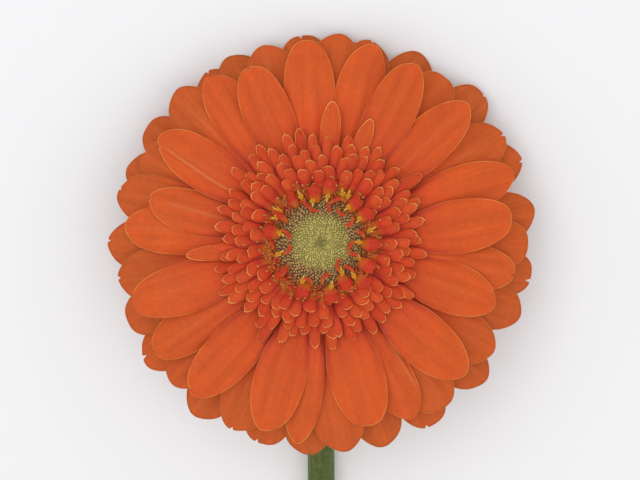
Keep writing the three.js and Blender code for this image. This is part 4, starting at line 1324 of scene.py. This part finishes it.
class GERBERA_OT_open_florets(bpy.types.Operator):
    """Build the open florets round the disc: lips, curled tongues, anther tubes and styles."""

    bl_idname = "gerbera.open_florets"
    bl_label = "Open florets"

    def execute(self, context):
        colours = context.scene.gerbera_colours
        skin = petal_finish("fresh red floret lobe", colours.floret_foot, colours.lip, colours.lip,
                            colours.floret_rim, colours.ray_under, 0.04, rim_width=0.18, rim_from=0.85,
                            rim_weight=0.5, rear_rim=0.7, rear_edge=0.0, side_shade=0.2, side_width=0.8,
                            dusted=0.5)
        tipped = petal_finish("fresh floret tongue", colours.floret_foot, colours.lip, colours.lip,
                              colours.floret_rim, colours.ray_under, 0.04, rim_width=0.55, rim_from=0.8,
                              rim_weight=0.45, rim_sides=0.15, rear_rim=1.0, rear_edge=0.0, side_shade=0.2,
                              side_width=0.5, dusted=0.5)
        gold = pollen_finish("pollen dusted anther", colours.pollen, colours.pollen_tip)
        young = pollen_finish("dusted young floret", linear("#c4562a"), linear("#dfa03a"))
        waxy = pollen_finish("waxy style", linear("#b8742a"), colours.style)
        for name, parts, finish in (("lips", lip_parts(), skin), ("tongues", tongue_parts(), tipped),
                                    ("anthers", anther_parts(), gold)):
            new_piece(name, new_mesh(name, merged(parts), finish), (), BLOOM)

        stub = tube([(0, 0, 0), (0, 0.5, 0), (0, 0.9, 0.05), (0, 1, 0.1)], [0.28, 0.34, 0.24, 0.05], sides=6)
        mesh = whorl("young_florets", [stub], young, Count=STUBS, Turn=GOLDEN_ANGLE,
                     Near_Root=spot(12.6, 1.6), Far_Root=spot(14.4, 2.2), Near_Tip=spot(12.5, 3.4),
                     Far_Tip=spot(14.9, 4.0), Blade_Length=MM, Reach_Scatter=1.2 * MM, Turn_Scatter=0.2,
                     Size_Scatter=0.7, Seed=15)
        new_piece("young_florets", mesh, (), BLOOM)

        kinds = []
        for kind in range(3):
            lobe = blade((0, 0), (LOBE_LENGTH, 0), 1.3, hump=0.5, camber=0.5, curl=0.5 * (kind - 1),
                         fullest=0.6, claw=0.8, point=2.2, thickness=0.3, columns=7, rows=7, number=kind)
            lobe[2].pop("tone")
            kinds.append(lobe)
        mesh = whorl("young_lobes", kinds, skin, Count=LOBES, Turn=GOLDEN_ANGLE, Near_Root=spot(11.6, 2.4),
                     Far_Root=spot(14.0, 2.6), Near_Tip=spot(11.4, 3.9), Far_Tip=spot(14.4, 4.3),
                     Blade_Length=LOBE_LENGTH * MM, Reach_Scatter=3.0 * MM, Turn_Scatter=0.4,
                     Roll_Scatter=0.8, Size_Scatter=0.5, Seed=27)
        new_piece("young_lobes", mesh, (), BLOOM)
        new_piece("styles", new_mesh("styles", merged(style_parts()), waxy), (), BLOOM)
        return {"FINISHED"}


# ---- The disc ----
BUD_LENGTH = 1.7
BUD_REACH = 13.2
BED_DEPTH = (0.1, 0.4)  # how far the bed lies below the disc's surface, in the middle and at the edge
COLLAR_RISE = 1.3  # how far the disc rises where it meets the collar


def disc_height(radius):
    """The height of the disc's surface: a low dome with a dimple, and a rise where it meets the collar."""
    dimple = DIMPLE_DEPTH * np.exp(-((radius / DIMPLE_RADIUS) ** 2))
    rise = COLLAR_RISE * smooth(10.8, 12.6, radius)
    return DISC_TOP_Z - DISC_FALL * (radius / DISC_RADIUS) ** 4 - dimple + rise


def bud_part(kind):
    """A closed bud: five folded lobes that meet at the tip."""
    steps = np.array([0, 0.35, 0.7, 0.9, 1])
    path = np.stack([np.zeros(5), steps * BUD_LENGTH, 0.06 * (kind - 1) * steps], 1)
    return tube(path, [0.4, 0.48, 0.5, 0.4, 0.18], sides=8, bumps=0.1)


class GERBERA_OT_disc(bpy.types.Operator):
    """Build the disc: closed buds in a spiral over a dark bed, painted in the colours of the shade between
    the buds.
    """

    bl_idname = "gerbera.disc"
    bl_label = "Disc"

    def execute(self, context):
        colours, sizes = context.scene.gerbera_colours, context.scene.gerbera_sizes
        skin = bud_finish("downy closed bud", colours.disc_green, colours.disc_green_gap, colours.disc_brown,
                          colours.disc_brown_gap, colours.disc_rust)
        wide = sizes.bud_width / MM
        mesh = whorl("buds", [bud_part(kind) for kind in range(3)], skin, Count=sizes.buds, Turn=GOLDEN_ANGLE,
                     Power=0.65, Near_Root=spot(0, -1.3), Far_Root=spot(BUD_REACH, -1.3),
                     Near_Tip=spot(-0.9, 0.1), Far_Tip=spot(BUD_REACH - 0.1, 0.4), Near_Size=0.64 * wide,
                     Far_Size=wide, Blade_Length=BUD_LENGTH * MM, Reach_Scatter=0.16 * MM,
                     Turn_Scatter=0.025, Roll_Scatter=0.3, Size_Scatter=0.16, Seed=9)
        points = np.empty(len(mesh.vertices) * 3)
        mesh.vertices.foreach_get("co", points)
        points = points.reshape(-1, 3)
        radii = np.hypot(points[:, 0], points[:, 1]) / MM
        points[:, 2] += disc_height(radii) * MM
        mesh.vertices.foreach_set("co", points.ravel())
        new_piece("disc_buds", mesh, ["disc_florets"], BLOOM)
        radii = np.linspace(DISC_RADIUS, 0.05, 40)
        sunk = BED_DEPTH[0] + (BED_DEPTH[1] - BED_DEPTH[0]) * radii / DISC_RADIUS
        bed = [(0.05, -GAP), (DISC_RADIUS, -GAP), *zip(radii, disc_height(radii) - sunk)]
        points, faces, _ = lathe(bed[::-1])
        # The bed has the colours of the gaps between the buds, with tipward 0 throughout: painted shade.
        facts = {"out": np.hypot(points[:, 0], points[:, 1]) / BUD_REACH, "tone": np.full(len(points), 0.5),
                 "tipward": np.zeros(len(points))}
        new_piece("disc_bed", new_mesh("disc_bed", (points, faces, facts), skin), (), BLOOM)
        return {"FINISHED"}


# ---- The panel ----
class GERBERA_PT_panel(bpy.types.Panel):
    """Sizes, colours and steps of the gerbera."""

    bl_idname = "GERBERA_PT_panel"
    bl_label = "Cut gerbera"
    bl_space_type = "VIEW_3D"
    bl_region_type = "UI"
    bl_category = "Gerbera"

    def draw(self, context):
        for group in (context.scene.gerbera_sizes, context.scene.gerbera_colours):
            for key in group.bl_rna.properties.keys():
                if key not in ("rna_type", "name"):
                    self.layout.prop(group, key)
        for step in STEPS:
            self.layout.operator(step.bl_idname)


STEPS = (GERBERA_OT_stage, GERBERA_OT_stem, GERBERA_OT_cup, GERBERA_OT_rays, GERBERA_OT_inner_florets,
         GERBERA_OT_open_florets, GERBERA_OT_disc)
CLASSES = (GerberaSizes, GerberaColours, *STEPS, GERBERA_PT_panel)


def register():
    for kind in CLASSES:
        bpy.utils.register_class(kind)
    bpy.types.Scene.gerbera_sizes = PointerProperty(type=GerberaSizes)
    bpy.types.Scene.gerbera_colours = PointerProperty(type=GerberaColours)


def unregister():
    del bpy.types.Scene.gerbera_colours
    del bpy.types.Scene.gerbera_sizes
    for kind in reversed(CLASSES):
        bpy.utils.unregister_class(kind)


def main():
    register()
    bpy.ops.gerbera.stage()
    bpy.ops.gerbera.stem()
    bpy.ops.gerbera.cup()
    bpy.ops.gerbera.rays()
    bpy.ops.gerbera.inner_florets()
    bpy.ops.gerbera.open_florets()
    bpy.ops.gerbera.disc()


if __name__ == "__main__":
    main()
